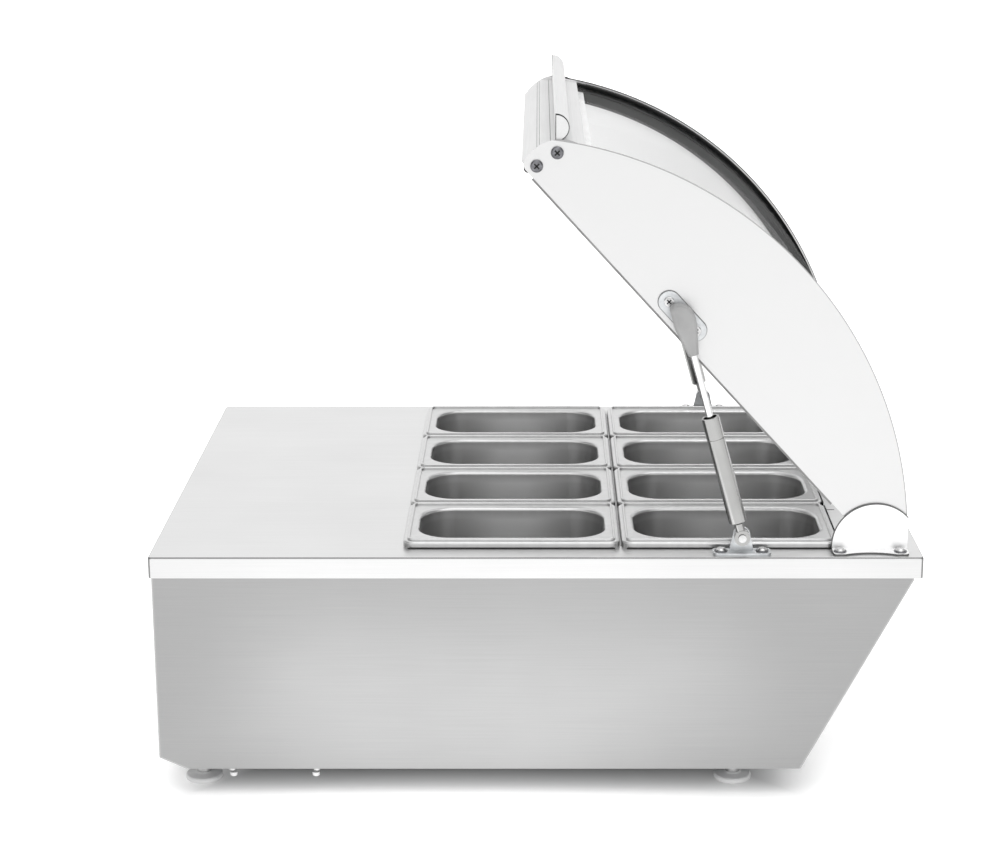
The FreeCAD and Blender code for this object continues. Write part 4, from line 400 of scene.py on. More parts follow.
@dataclass(frozen=True)
class PanSteel(DrawnSteel):
    """Drawn pan: painted light makes its inside bright along the middle, and painted shade darkens it towards
    the ends.
    """

    # Painted light of the inside, and painted shade towards its ends
    inside_light: str = "#e6e6e6"
    ends: str = "#c6c6c6"
    middle: float = 0.0
    # From the middle, where the painted shade of the ends begins and where it is full
    bright: float = 10.0
    dull: float = 52.0
    brim: float = 206.0
    fade: float = 6.0

    def detail(self, surface: Surface) -> None:
        """The drawn sheet, and below the brim the painted light of the inside, with painted shade towards its
        ends.
        """
        super().detail(surface)
        fading = ((self.brim - self.fade) * MM, self.brim * MM)
        below = surface.ranged(surface.along("Z"), fading, (1.0, 0.0))
        surface.overlay(below, self.inside_light)
        away = surface.away("X", self.middle * MM)
        end = surface.ranged(away, (self.bright * MM, self.dull * MM), smooth=True)
        surface.overlay(surface.calculate("MULTIPLY", below, end), self.ends)


@dataclass(frozen=True)
class PlatedMetal(Finish):
    """Plated or polished metal: an even mirror with slight clouds in its gloss."""

    metallic: float = 1.0
    light: str = WHITE
    cloud: float = 6.0
    dull_part: float = 1.25
    bright_part: float = 0.8

    def detail(self, surface: Surface) -> None:
        """Clouds in tint and gloss."""
        clouds = surface.noise((self.cloud,) * 3, detail=3.0)
        surface.tint(clouds, self.colour, self.light)
        surface.polish(clouds, self.roughness * self.dull_part, self.roughness * self.bright_part)


@dataclass(frozen=True)
class Moulded(Finish):
    """Moulded plastic or rubber: a spark-eroded texture that breaks the highlight up."""

    light: str = "#808080"
    texture: float = 0.9
    texture_per_cloud: float = 22.0
    depth: float = 0.05
    relief: float = 0.3
    gloss_range: float = 0.06
    sheen: float = 0.5

    def detail(self, surface: Surface) -> None:
        """A fine texture in relief and gloss, with a slight change of tone."""
        surface.feed("Specular IOR Level", self.sheen)
        # A mould texture of about 0.1 mm is drawn at 0.9 mm so that it shows.
        pores = surface.noise((self.texture,) * 3, detail=3.0)
        clouds = surface.noise((self.texture * self.texture_per_cloud,) * 3)
        surface.tint(clouds, self.colour, self.light)
        surface.polish(pores, self.roughness + self.gloss_range, self.roughness - self.gloss_range)
        surface.emboss(pores, self.relief, self.depth)


@dataclass(frozen=True)
class BentGlass(Finish):
    """Clear float glass bent over a mould: no colour, faint waves in its reflections."""

    index: float = 1.5
    haze: float = 0.06
    wave: float = 60.0
    wave_depth: float = 0.2
    relief: float = 0.05

    def detail(self, surface: Surface) -> None:
        """Full transmission, mostly see-through, and the shallow waves of bending."""
        surface.feed("Transmission Weight", 1.0)
        surface.feed("IOR", self.index)
        # Seen along the sheet, whole glass would be a white mirror and hide the black channel behind it
        surface.feed("Alpha", self.haze)
        surface.emboss(surface.noise((self.wave,) * 3, detail=1.0), self.relief, self.wave_depth)


# Worktop: pale grey that takes the studio's light softly, with painted shade on the bends
TOP_STEEL = FoldedSteel("stainless_sheet_ground_top", "#c9c9c9", 0.34, light="#d0d0d0", depth=0.002)
# Side panels: darker, so that the light in front of them shows as a soft pool
SIDE_STEEL = GroundSteel("stainless_sheet_ground_side", "#979797", 0.42, light="#9c9c9c", depth=0.002)
# End panels: ground across, which draws their reflections upright
END_STEEL = GroundSteel("stainless_sheet_ground_end", "#a6a6a6", 0.40, light="#b0b0b0", grain=Grain.ALONG_Y)
# Tank: drawn like the food pans, and darker
TANK_STEEL = DrawnSteel("stainless_sheet_drawn_tank", "#9a9a9a", 0.34, light="#b0b0b0")
# Plated sheet: a pale satin with a cool tinge
ZINC = PlatedMetal("steel_zinc_plated", "#b8babc", 0.36, light="#cacccd")
# Screws and bolts: small bright mirrors
BRIGHT = PlatedMetal("steel_bright_plated_fastener", "#b4b4b4", 0.22, light="#d2d2d2")
# Nose screws and washers: dark spots on pale sheet
DARK = PlatedMetal("steel_dark_plated_fastener", "#626264", 0.38, light="#808084", cloud=3.0)
# Strut tubes: grey mirrors whose edges the dark panels of the studio draw
NICKEL = PlatedMetal("steel_tube_satin_nickel", "#9c9c9b", 0.21, light="#a4a4a3", cloud=40.0)
# Strut rods: the clearest mirrors of all
CHROME = PlatedMetal("steel_rod_hard_chrome", "#d6d6d6", 0.07, light="#f4f4f4", cloud=12.0)
# Profiles: the clear oxide on aluminium scatters light, so it is only partly a mirror
ANODISED = GroundSteel("aluminium_profile_anodised", "#c8c8c8", 0.42, 0.5, light="#d2d2d2",
                       grain=Grain.ALONG_Y)
# Coil: warm and stained
COPPER = PlatedMetal("copper_tube_bare", "#b06b45", 0.36, light="#d08a60", cloud=14.0)
# Hoods and feet: dull grey with a broad highlight
HOOD_GREY = Moulded("nylon_hood_moulded_grey", "#8c8c8c", 0.48, light="#989898")
FOOT_GREY = Moulded("nylon_foot_moulded_grey", "#d2d2d2", 0.52, light="#e0e0e0")
# Controls: black with a fine texture, the rocker and the window smooth
BLACK = Moulded("abs_housing_moulded_black", "#17181a", 0.42, light="#222326")
GLOSS_BLACK = Moulded("polycarbonate_rocker_black", "#101112", 0.16, light="#1a1b1d", depth=0.01)
WINDOW = Moulded("polycarbonate_window_smoked", "#060708", 0.08, light="#0b0d0e", depth=0.002)
# Channels and seals: black that hardly shines
RUBBER = Moulded("epdm_seal_extruded_black", "#101010", 0.70, light="#1a1a1a", sheen=0.12)
# Trim and gaskets: thin dark outlines
TRIM = Moulded("pvc_edge_trim_grey", "#6b6b6b", 0.50, light="#808080")
# Glazing strip: a milky band beside the profile
FROST = Moulded("pvc_glazing_strip_translucent", "#dcdcdc", 0.45, light="#e6e6e6")
# Gaps and recesses: painted shade for the darkness inside a narrow joint
SHADOW = Moulded("seam_gap_dark", "#161616", 0.80, light="#202020")
# Insulation: pale yellow with open pores
FOAM = Moulded("polyurethane_foam_rigid", "#d8caa0", 0.90, light="#e8dcb8", texture=3.0, depth=0.4)
# Compressor: black paint with a slight orange peel
ENAMEL = Moulded("steel_pot_black_enamel", "#121314", 0.36, light="#1d1e20", texture=2.0, depth=0.02)
# Glass: shows by its reflections alone
GLASS = BentGlass("float_glass_bent_clear", "#fbfefd", 0.0)


def settle(name: str, mesh: BMesh, body: str, finish: Finish) -> Object:
    """Turn a finished bmesh into a piece of the display.

    Args:
        name: The piece's name.
        mesh: The bmesh, in metres in the row frame. It is freed.
        body: The CAD body that the piece moves with.
        finish: The piece's finish.

    Returns:
        The piece.
    """
    bmesh.ops.recalc_face_normals(mesh, faces=mesh.faces)
    data = bpy.data.meshes.new(name)
    mesh.to_mesh(data)
    mesh.free()
    data.polygons.foreach_set("use_smooth", [True] * len(data.polygons))
    data.set_sharp_from_angle(angle=SHARP)
    data.materials.append(finish.material())
    piece = bpy.data.objects.new(name, data)
    bpy.context.scene.collection.objects.link(piece)
    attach(piece, body)
    LOG.info("%s rides on %s", name, body)
    return piece


def round_off(mesh: BMesh, edges: list[BMEdge], width: float, segments: int) -> None:
    """Round edges off over a width in metres, with so many faces across."""
    bmesh.ops.bevel(mesh, geom=edges, offset=width, affect="EDGES", segments=segments, profile=0.5,
                    material=-1)


def cut_off(mesh: BMesh, point: Vector, normal: Vector) -> list[BMEdge]:
    """Cut away all that lies in front of a plane.

    Args:
        mesh: The bmesh.
        point: A point of the plane in metres.
        normal: The way to the side that goes.

    Returns:
        The edges along the cut.
    """
    cut = bmesh.ops.bisect_plane(mesh, geom=[*mesh.verts, *mesh.edges, *mesh.faces], plane_co=point,
                                 plane_no=normal, clear_outer=True)["geom_cut"]
    return [item for item in cut if isinstance(item, BMEdge)]


def extrude(mesh: BMesh, faces: list[BMFace]) -> list[BMVert]:
    """Extrude faces by nothing yet and return the new verts, which the caller moves."""
    raised = bmesh.ops.extrude_face_region(mesh, geom=faces)["geom"]
    return [item for item in raised if isinstance(item, BMVert)]


def thicken(mesh: BMesh, sheet: float) -> None:
    """Give a bmesh of upright plates on both long sides a thickness outwards, in metres."""
    for vert in extrude(mesh, list(mesh.faces)):
        vert.co.y += math.copysign(sheet, vert.co.y)


def add_plate(mesh: BMesh, radius: float, place: Matrix) -> list[BMVert]:
    """Add a round plate without thickness and return the verts of its rim."""
    return bmesh.ops.create_circle(mesh, cap_ends=True, cap_tris=False, segments=64, radius=radius,
                                   matrix=place)["verts"]


def add_block(mesh: BMesh, size: Vector, place: Matrix, rounding: float = 0.0) -> None:
    """Add a block with rounded edges.

    Args:
        mesh: The bmesh that takes it.
        size: Length along the block's own X, Y and Z in metres.
        place: Where its middle is and how it is turned.
        rounding: Width of the rounded edges in metres.
    """
    verts = bmesh.ops.create_cube(mesh, size=1.0, matrix=place @ Matrix.Diagonal((*size, 1.0)))["verts"]
    if rounding:
        round_off(mesh, list({edge for vert in verts for edge in vert.link_edges}), rounding, 3)


def add_disc(mesh: BMesh, radius: float, height: float, place: Matrix, rounding: float) -> None:
    """Add a round disc that stands on the given place.

    Args:
        mesh: The bmesh that takes it.
        radius: Radius in metres.
        height: Height along the place's own Z in metres.
        place: The middle of its lower face and the way it stands.
        rounding: Width of the rounded upper edge in metres.
    """
    raised = place @ Matrix.Translation((0, 0, height / 2))
    verts = bmesh.ops.create_cone(mesh, cap_ends=True, cap_tris=False, segments=40, radius1=radius,
                                  radius2=radius, depth=height, matrix=raised)["verts"]
    back = place.inverted()
    top = [vert for vert in verts if (back @ vert.co).z > height / 2]
    edges = {edge for vert in top for edge in vert.link_edges}
    round_off(mesh, [edge for edge in edges if all(vert in top for vert in edge.verts)], rounding, 4)


def add_cross(mesh: BMesh, length: float, width: float, place: Matrix) -> None:
    """Add the painted shade of a screw's cross recess as two thin bars, whose length and width are
    millimetres.
    """
    for turn in (Matrix.Rotation(math.radians(angle), 4, "Z") for angle in (45.0, 135.0)):
        add_block(mesh, Vector((length, width, CROSS_HEIGHT)) * MM, place @ turn)


def standing(point: Vector, axis: Vector) -> Matrix:
    """A place at a point in metres whose own Z runs along an axis."""
    return Matrix.Translation(point) @ axis.to_track_quat("Z", "Y").to_matrix().to_4x4()


def corners_of(node: str, inset: float) -> list[tuple[float, float]]:
    """X and Y of four like pieces whose middles are inset from the corners of a node's box, in metres."""
    low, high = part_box(node)
    return [(x, y) for x in (low.x + inset, high.x - inset) for y in (low.y + inset, high.y - inset)]


@dataclass
class Casing:
    """Worktop, panels, base and feet. Sizes here and below are millimetres."""

    slit_size: Triple = (9.0, 1.6, 0.1)
    slit_x: float = 250.6
    slit_y: float = -110.4
    sleeve_radius: float = 6.0
    sleeve_low: float = 6.6
    sleeve_length: float = 11.8
    sleeve_rounding: float = 0.6
    foot_radius: float = 15.5
    bolt_head: float = 4.0
    tip_radius: float = 3.0
    tip_length: float = 3.4
    tip_rounding: float = 1.2
    # Dark strips of painted shadow in the gaps at the pans
    joint_inset: float = 4.0
    joint_width: float = 0.8
    joint_height: float = 1.6

    def build(self) -> None:
        """Add the slit in the worktop, the sleeves on the feet, the bolt tips and the painted shadow lines at
        the pans.
        """
        self.build_slit()
        self.build_sleeves()
        self.build_bolt_tips()
        self.build_pan_shadow_lines()

    def build_slit(self) -> None:
        """Add the dark slit beside the near pan at the customer side."""
        mesh = bmesh.new()
        place = Matrix.Translation((self.slit_x * MM, self.slit_y * MM, WORKTOP))
        add_block(mesh, Vector(self.slit_size) * MM, place)
        settle("worktop_slit", mesh, "casing", SHADOW)

    def build_sleeves(self) -> None:
        """Add the bright sleeves between the feet and the casing."""
        mesh = bmesh.new()
        for x, y in corners_of("feet", self.foot_radius * MM):
            place = Matrix.Translation((x, y, self.sleeve_low * MM))
            add_disc(mesh, self.sleeve_radius * MM, self.sleeve_length * MM, place, self.sleeve_rounding * MM)
        settle("foot_sleeves", mesh, "casing", BRIGHT)

    def build_bolt_tips(self) -> None:
        """Add the nylon caps that hang from the panel bolts."""
        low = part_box("panel_bolts")[0].z
        mesh = bmesh.new()
        for x, y in corners_of("panel_bolts", self.bolt_head * MM):
            under = standing(Vector((x, y, low)), Vector((0, 0, -1)))
            add_disc(mesh, self.tip_radius * MM, self.tip_length * MM, under, self.tip_rounding * MM)
        settle("panel_bolt_tips", mesh, "casing", FOOT_GREY)

    def build_pan_shadow_lines(self) -> None:
        """Add dark strips as painted shadow in the gaps between the worktop and the near pans, and beside the
        customer-side pans.
        """
        width = self.joint_width * MM
        ends = self.joint_inset * 2 * MM
        mesh = bmesh.new()
        for column in PAN_COLUMNS:
            low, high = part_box(f"pan_{column}_1")
            place = Matrix.Translation(((low.x + high.x) / 2, low.y - width / 2, WORKTOP))
            add_block(mesh, Vector((high.x - low.x - ends, width, self.joint_height * MM)), place)
        for row in PAN_ROWS:
            low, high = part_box(f"pan_right_{row}")
            place = Matrix.Translation((high.x + width / 2, (low.y + high.y) / 2, WORKTOP))
            # Half of this strip lies in the worktop, and its top stays one width below the flange
            tall = (high.z - WORKTOP - width) * 2
            add_block(mesh, Vector((width, high.y - low.y - ends, tall)), place)
        settle("pan_shadow_lines", mesh, "casing", SHADOW)

    def dress(self) -> None:
        """Finish the sheet metal and the feet."""
        TOP_STEEL.dress("worktop")
        SIDE_STEEL.dress("side_panel_near", "side_panel_far")
        END_STEEL.dress("front_panel", "rear_panel")
        ZINC.dress("base_pan", "foot_plates")
        BRIGHT.dress("foot_bolts", "panel_bolts")
        FOOT_GREY.dress("feet")


@dataclass
class Well:
    """Pans and what carries and cools them."""

    bead_inset: float = 3.4
    bead_width: float = 2.0
    bead_height: float = 1.8
    bead_corner: float = 5.6
    bead_rounding: float = 0.8

    def build(self) -> None:
        """Add the pressed bead round the flange of each pan."""
        for column in PAN_COLUMNS:
            for row in PAN_ROWS:
                self.build_bead(column, row)

    def build_bead(self, column: str, row: int) -> None:
        """Add the bead of one pan.

        Args:
            column: The pan's column.
            row: The pan's row, from the near side.
        """
        low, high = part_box(f"pan_{column}_{row}")
        middle = (low + high) / 2
        inset = self.bead_inset * 2 * MM
        size = Matrix.Diagonal((high.x - low.x - inset, high.y - low.y - inset, 1.0, 1.0))
        mesh = bmesh.new()
        bmesh.ops.create_grid(mesh, x_segments=1, y_segments=1, size=0.5,
                              matrix=Matrix.Translation((middle.x, middle.y, high.z)) @ size)
        bmesh.ops.bevel(mesh, geom=list(mesh.verts), offset=self.bead_corner * MM, affect="VERTICES",
                        segments=6, profile=0.5, material=-1)
        ring = bmesh.ops.inset_region(mesh, faces=list(mesh.faces), thickness=self.bead_width * MM,
                                      use_boundary=True, use_even_offset=True)["faces"]
        bmesh.ops.delete(mesh, geom=[face for face in mesh.faces if face not in ring], context="FACES")
        for vert in extrude(mesh, ring):
            vert.co.z += self.bead_height * MM
        mesh.normal_update()
        half = high.z + self.bead_height / 2 * MM
        upper = [edge for edge in mesh.edges if all(vert.co.z > half for vert in edge.verts)]
        rims = [edge for edge in upper if edge.calc_face_angle(0.0) > SHARP]
        round_off(mesh, rims, self.bead_rounding * MM, 3)
        settle(f"pan_bead_{column}_{row}", mesh, f"{column}_pan_{row}", self.steel_of(column))

    def steel_of(self, column: str) -> PanSteel:
        """The drawn steel of one column's pans, which is brighter and smoother than the casing, with painted
        light and shade inside.
        """
        low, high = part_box(f"pan_{column}_1")
        return PanSteel(f"stainless_sheet_drawn_pan_{column}", "#bebebe", 0.32, light="#c4c4c4",
                        middle=(low.x + high.x) / 2 / MM)

    def dress(self) -> None:
        """Finish the pans, the tank and the parts behind it."""
        for column in PAN_COLUMNS:
            self.steel_of(column).dress(*(f"pan_{column}_{row}" for row in PAN_ROWS))
        TANK_STEEL.dress("inner_tank", "pan_support_bar")
        FOAM.dress("insulation")
        COPPER.dress("evaporator_coil")
        FOOT_GREY.dress("drain_tube")


class LidFrame:
    """The closed lid's own axes about its hinge, seen where the open lid has them."""

    def __init__(self) -> None:
        """Read the hinge from the frame."""
        joint = next(joint for joint in frame["joints"] if joint["name"] == "lid_hinge")
        opened = math.radians(-joint["range_deg"][0])
        self.hinge = Vector(joint["pos_m"])
        self.place = Matrix.Translation(self.hinge) @ Matrix.Rotation(opened, 4, "Y")

    def point(self, x: float, z: float, y: float = 0.0) -> Vector:
        """A point at X and Z of the closed lid in millimetres, and at a Y in metres, with the lid open."""
        spot = self.place @ Vector((x * MM, 0, z * MM))
        return Vector((spot.x, y, spot.z))

    def turned(self, x: float, z: float, angle: float) -> Matrix:
        """A place at X and Z of the closed lid in millimetres, turned about Y by degrees."""
        turn = Matrix.Rotation(math.radians(angle), 4, "Y")
        return self.place @ Matrix.Translation((x * MM, 0, z * MM)) @ turn


LID = LidFrame()


@dataclass
class Lid:
    """Curved glass lid with its cheeks, profile and grip. X and Z are those of the closed lid."""

    arch_x: float = -203.8
    arch_z: float = -225.5
    glass_inner: float = 321.0
    glass_half_width: float = 205.0
    cheek_rim: float = 329.2
    strip_x: float = -394.5
    strip_width: float = 13.0
    strip_sheet: float = 0.8
    strip_gap: float = 0.1
    plug_x: float = -390.4
    plug_y: float = 212.6
    plug_z: float = 33.6
    plug_slope: float = 0.70
    plug_size: Triple = (7.6, 11.4, 20.4)
    cross_length: float = 5.4
    cross_width: float = 1.3
    grip_radius: float = 10.9
    seam: float = 1.2
    seam_sheet: float = 0.4
    groove_width: float = 0.6
    groove_length: float = 430.0
    groove_height: float = 0.12
    # X, Z and turn about Y in degrees of the grooves and of the joint
    nose_grooves: tuple[Triple, Triple] = ((-419.5, 13.4, -90.0), (-419.5, 16.0, -90.0))
    slope_groove: Triple = (-414.3, 23.0, -46.8)
    joint: Triple = (-394.2, 39.6, -35.7)
    joint_height: float = 1.0
    # X and Z
    nose_screws: tuple[tuple[float, float], ...] = ((-409.3, 3.9), (-406.2, 22.6))
    seal_x: float = -412.0
    seal_z: float = -2.6
    seal_radius: float = 3.4
    seal_half_length: float = 217.5

    def build(self) -> None:
        """Add grip ends, seal, grooves, glazing strip, channel plugs and the nose screws' crosses."""
        self.build_grip_ends("grip_end_seams", self.grip_radius, 0.0, SHADOW)
        self.build_grip_ends("grip_end_caps", self.grip_radius - self.seam, self.seam_sheet,
                             ANODISED)
        self.build_seal()
        self.build_grooves()
        self.build_strip()
        self.build_plugs()
        self.build_crosses()

    def build_grip_ends(self, name: str, radius: float, lift: float, finish: Finish) -> None:
        """Add a half-round plate on each end of the grip.

        Args:
            name: The piece's name.
            radius: Radius of the plate in millimetres.
            lift: Grip end to the plate in millimetres.
            finish: The piece's finish.
        """
        low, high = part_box("grip_bar")
        flat = low.x + (self.grip_radius - radius) / 2 * MM
        mesh = bmesh.new()
        for side in Side:
            end = side.face_of("grip_bar") + side.value * lift * MM
            spot = Vector((flat, end, high.z - self.grip_radius * MM))
            add_plate(mesh, radius * MM, standing(spot, side.outward))
        cut_off(mesh, Vector((flat, 0, 0)), Vector((-1, 0, 0)))
        thicken(mesh, self.seam_sheet * MM)
        settle(name, mesh, "lid", finish)

    def build_seal(self) -> None:
        """Add the half-round bulb of the seal in place of the plain strip."""
        mesh = bmesh.new()
        place = LID.place @ Matrix.Translation((self.seal_x * MM, 0, self.seal_z * MM))
        along = place @ Matrix.Rotation(math.radians(90), 4, "X")
        radius = self.seal_radius * MM
        bmesh.ops.create_cone(mesh, cap_ends=True, cap_tris=False, segments=48, radius1=radius,
                              radius2=radius, depth=self.seal_half_length * 2 * MM, matrix=along)
        rim = cut_off(mesh, place.translation, place.to_3x3() @ Vector((0, 0, 1)))
        bmesh.ops.contextual_create(mesh, geom=rim)
        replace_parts(settle("lid_seal_bulb", mesh, "lid", RUBBER), "lid_seal")

    def build_grooves(self) -> None:
        """Add the fine grooves along the profile's faces and the joint where its lip meets the glass."""
        grooves = bmesh.new()
        size = Vector((self.groove_width, self.groove_length, self.groove_height)) * MM
        for groove in (*self.nose_grooves, self.slope_groove):
            add_block(grooves, size, LID.turned(*groove))
        settle("profile_grooves", grooves, "lid", TRIM)
        joint = bmesh.new()
        size = Vector((self.groove_width, self.glass_half_width * 2, self.joint_height)) * MM
        add_block(joint, size, LID.turned(*self.joint))
        settle("glass_joint", joint, "lid", SHADOW)

    def build_strip(self) -> None:
        """Add the pale glazing strip on the inner face of the glass beside the profile."""
        outer = self.glass_inner - self.strip_gap
        # Angle about the arch axis, from the crown towards the nose
        first = math.asin((self.arch_x - self.strip_x) / outer)
        mesh = bmesh.new()
        section = Matrix.Diagonal((self.strip_sheet * MM, self.glass_half_width * 2 * MM, 1.0, 1.0))
        upright = Matrix.Rotation(math.radians(90), 4, "Y")
        raised = Matrix.Translation((0, 0, (outer - self.strip_sheet / 2) * MM))
        bmesh.ops.create_grid(mesh, x_segments=1, y_segments=1, size=0.5,
                              matrix=Matrix.Rotation(-first, 4, "Y") @ raised @ upright @ section)
        bmesh.ops.spin(mesh, geom=list(mesh.faces), cent=(0, 0, 0), axis=(0, 1, 0),
                       angle=self.strip_width / outer, steps=6, use_duplicate=False)
        axis = Matrix.Translation((self.arch_x * MM, 0, self.arch_z * MM))
        bmesh.ops.transform(mesh, matrix=LID.place @ axis, verts=list(mesh.verts))
        settle("glazing_strip", mesh, "lid", FROST)

    def build_plugs(self) -> None:
        """Add the black plugs between the channels and the profile."""
        mesh = bmesh.new()
        shear = Matrix.Identity(4)
        shear[2][0] = self.plug_slope
        size = Vector(self.plug_size) * MM
        for side in Side:
            middle = Vector((self.plug_x, side.value * self.plug_y, self.plug_z)) * MM
            add_block(mesh, size, LID.place @ Matrix.Translation(middle) @ shear)
        settle("channel_plugs", mesh, "lid", RUBBER)

    def build_crosses(self) -> None:
        """Add the cross recesses of the nose screws."""
        mesh = bmesh.new()
        for side in Side:
            face = side.face_of("nose_screws")
            for x, z in self.nose_screws:
                place = standing(LID.point(x, z, face), side.outward)
                add_cross(mesh, self.cross_length, self.cross_width, place)
        settle("nose_screw_crosses", mesh, "lid", SHADOW)

    def dress(self) -> None:
        """Finish the lid's CAD nodes."""
        arch = LID.point(self.arch_x, self.arch_z) / MM
        # Cheeks: nearly white with a thin dark rim of painted shade. The far one is lighter where it faces
        # the camera, as painted light.
        for side, front, edge in ((Side.NEAR, "#cdcdcd", "#9c9c9c"), (Side.FAR, "#e7e7e7", "#1c1c1c")):
            cheek = EdgedSteel(f"stainless_sheet_ground_cheek_{side.word}", "#cacaca", 0.38, light="#d0d0d0",
                               depth=0.002, front=front, edge=edge, centre=(arch.x, arch.z),
                               rim=self.cheek_rim)
            cheek.dress(f"cheek_{side.word}")
        GLASS.dress("curved_glass")
        RUBBER.dress("glass_channel_near", "glass_channel_far", "lid_seal")
        ANODISED.dress("edge_profile", "hinge_rail", "grip_bar")
        TRIM.dress("cheek_trims")
        DARK.dress("nose_screws")


@dataclass
class Fittings:
    """Hinge brackets and gas struts. X and Z of the oval plates are those of the closed lid."""

    moon_rise: float = 4.0
    moon_rim: float = 34.7
    moon_foot: float = 1.2
    screw_head: float = 4.0
    hinge_seat: float = 1.5
    strut_seat: float = 2.0
    screw_cross: float = 4.6
    screw_cross_width: float = 1.1
    washer_radius: float = 5.2
    washer_height: float = 0.8
    washer_rounding: float = 0.3
    oval_x: float = -244.6
    oval_z: float = 8.7
    oval_sheet: float = 2.0
    oval_pitch: float = 32.0
    oval_length: float = 31.0
    oval_head: float = 4.2
    oval_dome: float = 1.5
    oval_rounding: float = 1.0
    gasket_radius: float = 9.3
    gasket_sheet: float = 0.3

    def build(self) -> None:
        """Add the screws and gaskets of the oval plates and the washers of the bracket screws."""
        self.build_oval_screws()
        self.build_gaskets()
        self.build_washers("hinge_bracket_screws", self.hinge_seat)
        self.build_washers("strut_bracket_screws", self.strut_seat)

    def build_oval_screws(self) -> None:
        """Add the screws of the oval plates on the cheeks, and their crosses."""
        heads = bmesh.new()
        crosses = bmesh.new()
        for side in Side:
            face = side.face_of(f"cheek_{side.word}") + side.value * self.oval_sheet * MM
            for step in (-0.5, 0.5):
                spot = LID.point(self.oval_x + self.oval_pitch * step, self.oval_z, face)
                place = standing(spot, side.outward)
                add_disc(heads, self.oval_head * MM, self.oval_dome * MM, place, self.oval_rounding * MM)
                top = place @ Matrix.Translation((0, 0, self.oval_dome * MM))
                add_cross(crosses, self.screw_cross, self.screw_cross_width, top)
        settle("strut_plate_screws", heads, "lid", BRIGHT)
        settle("strut_plate_screw_crosses", crosses, "lid", SHADOW)

    def build_gaskets(self) -> None:
        """Add the dark gaskets that show around the oval plates."""
        half = self.oval_length / 2 * MM
        mesh = bmesh.new()
        for side in Side:
            middle = LID.point(self.oval_x, self.oval_z, side.face_of(f"cheek_{side.word}"))
            outwards = Matrix.Rotation(math.radians(-90 * side.value), 4, "X")
            place = Matrix.Translation(middle) @ LID.place.to_3x3().to_4x4() @ outwards
            back = place.inverted()
            for vert in add_plate(mesh, self.gasket_radius * MM, place):
                vert.co += place.to_3x3() @ Vector((math.copysign(half, (back @ vert.co).x), 0, 0))
        thicken(mesh, self.gasket_sheet * MM)
        settle("strut_plate_gaskets", mesh, "lid", TRIM)

    def build_washers(self, screws: str, seat: float) -> None:
        """Add the washers of one kind of bracket screw.

        Args:
            screws: The node that holds the screws.
            seat: Worktop to the seat of the screw heads in millimetres.
        """
        height = WORKTOP + seat * MM
        washers = bmesh.new()
        for x, y in corners_of(screws, self.screw_head * MM):
            add_disc(washers, self.washer_radius * MM, self.washer_height * MM,
                     Matrix.Translation((x, y, height)), self.washer_rounding * MM)
        settle(f"{screws}_washers", washers, "casing", DARK)

    def dress(self) -> None:
        """Finish brackets, screws and struts."""
        top = WORKTOP / MM
        # Half-moons: nearly white, with grey bends, a dark rim and a dark foot, all painted shade
        moon = EdgedSteel("stainless_plate_polished", "#ececec", 0.50, light="#f2f2f2", depth=0.001,
                          bend_shade="#9a9a9a", flat=0.93, edge="#6a6a6a", rim=self.moon_rim,
                          centre=(LID.hinge.x / MM, top + self.moon_rise), foot=top + self.moon_foot)
        for side in Side:
            moon.dress(f"hinge_bracket_{side.word}")
            ZINC.dress(f"strut_bracket_{side.word}", f"strut_plate_{side.word}")
            NICKEL.dress(f"strut_tube_{side.word}")
            CHROME.dress(f"strut_rod_{side.word}")
            HOOD_GREY.dress(f"strut_hood_{side.word}")
        BRIGHT.dress("hinge_bracket_screws", "strut_bracket_screws", "hinge_nuts", "strut_pins")


@dataclass
class Machine:
    """Cooling machine and the controls on the operator side."""

    button_size: float = 5.0
    button_sheet: float = 0.3
    button_sink: float = 0.1
    button_y: float = -22.0
    button_pitch: float = 9.0
    button_rise: float = 6.3
    pane_size: Triple = (0.3, 33.4, 15.4)
    pane_sink: float = 0.4
    pane_y: float = 12.0
    rounding: float = 0.1

    def build(self) -> None:
        """Add the push buttons and the smoked pane of the controller."""
        low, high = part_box("controller")
        middle = Vector((low.x, (low.y + high.y) / 2, (low.z + high.z) / 2))
        mesh = bmesh.new()
        size = Vector((self.button_sheet, self.button_size, self.button_size)) * MM
        for rise in (-self.button_rise, self.button_rise):
            for step in (-0.5, 0.5):
                off = Vector((self.button_sink, self.button_y - self.button_pitch * step, rise)) * MM
                add_block(mesh, size, Matrix.Translation(middle + off), self.rounding * MM)
        settle("controller_buttons", mesh, "casing", HOOD_GREY)
        mesh = bmesh.new()
        size = Vector(self.pane_size) * MM
        off = Vector((self.pane_sink, self.pane_y, 0)) * MM
        add_block(mesh, size, Matrix.Translation(middle + off), self.rounding * MM)
        settle("controller_pane", mesh, "casing", WINDOW)

    def dress(self) -> None:
        """Finish the machine's CAD nodes."""
        ENAMEL.dress("compressor")
        RUBBER.dress("compressor_mounts")
        BRIGHT.dress("compressor_bolts")
        ZINC.dress("condenser")
        BLACK.dress("fan_shroud", "fan_rotor", "controller", "switch_body", "power_inlet")
        GLOSS_BLACK.dress("switch_rocker")


@dataclass(frozen=True)
class Softbox:
    """A soft light, with its place, what it points at and its size in metres, and its power in watts."""

    name: str
    place: Triple
    aim: Triple
    size: tuple[float, float]
    power: float

    def build(self) -> None:
        """Add the light, which the camera doesn't see."""
        light = bpy.data.lights.new(self.name, "AREA")
        light.energy = self.power
        light.shape = "RECTANGLE"
        light.size, light.size_y = self.size
        lamp = bpy.data.objects.new(self.name, light)
        lamp.location = self.place
        lamp.rotation_euler = (Vector(self.aim) - Vector(self.place)).to_track_quat("-Z", "Y").to_euler()
        lamp.visible_camera = False
        bpy.context.scene.collection.objects.link(lamp)


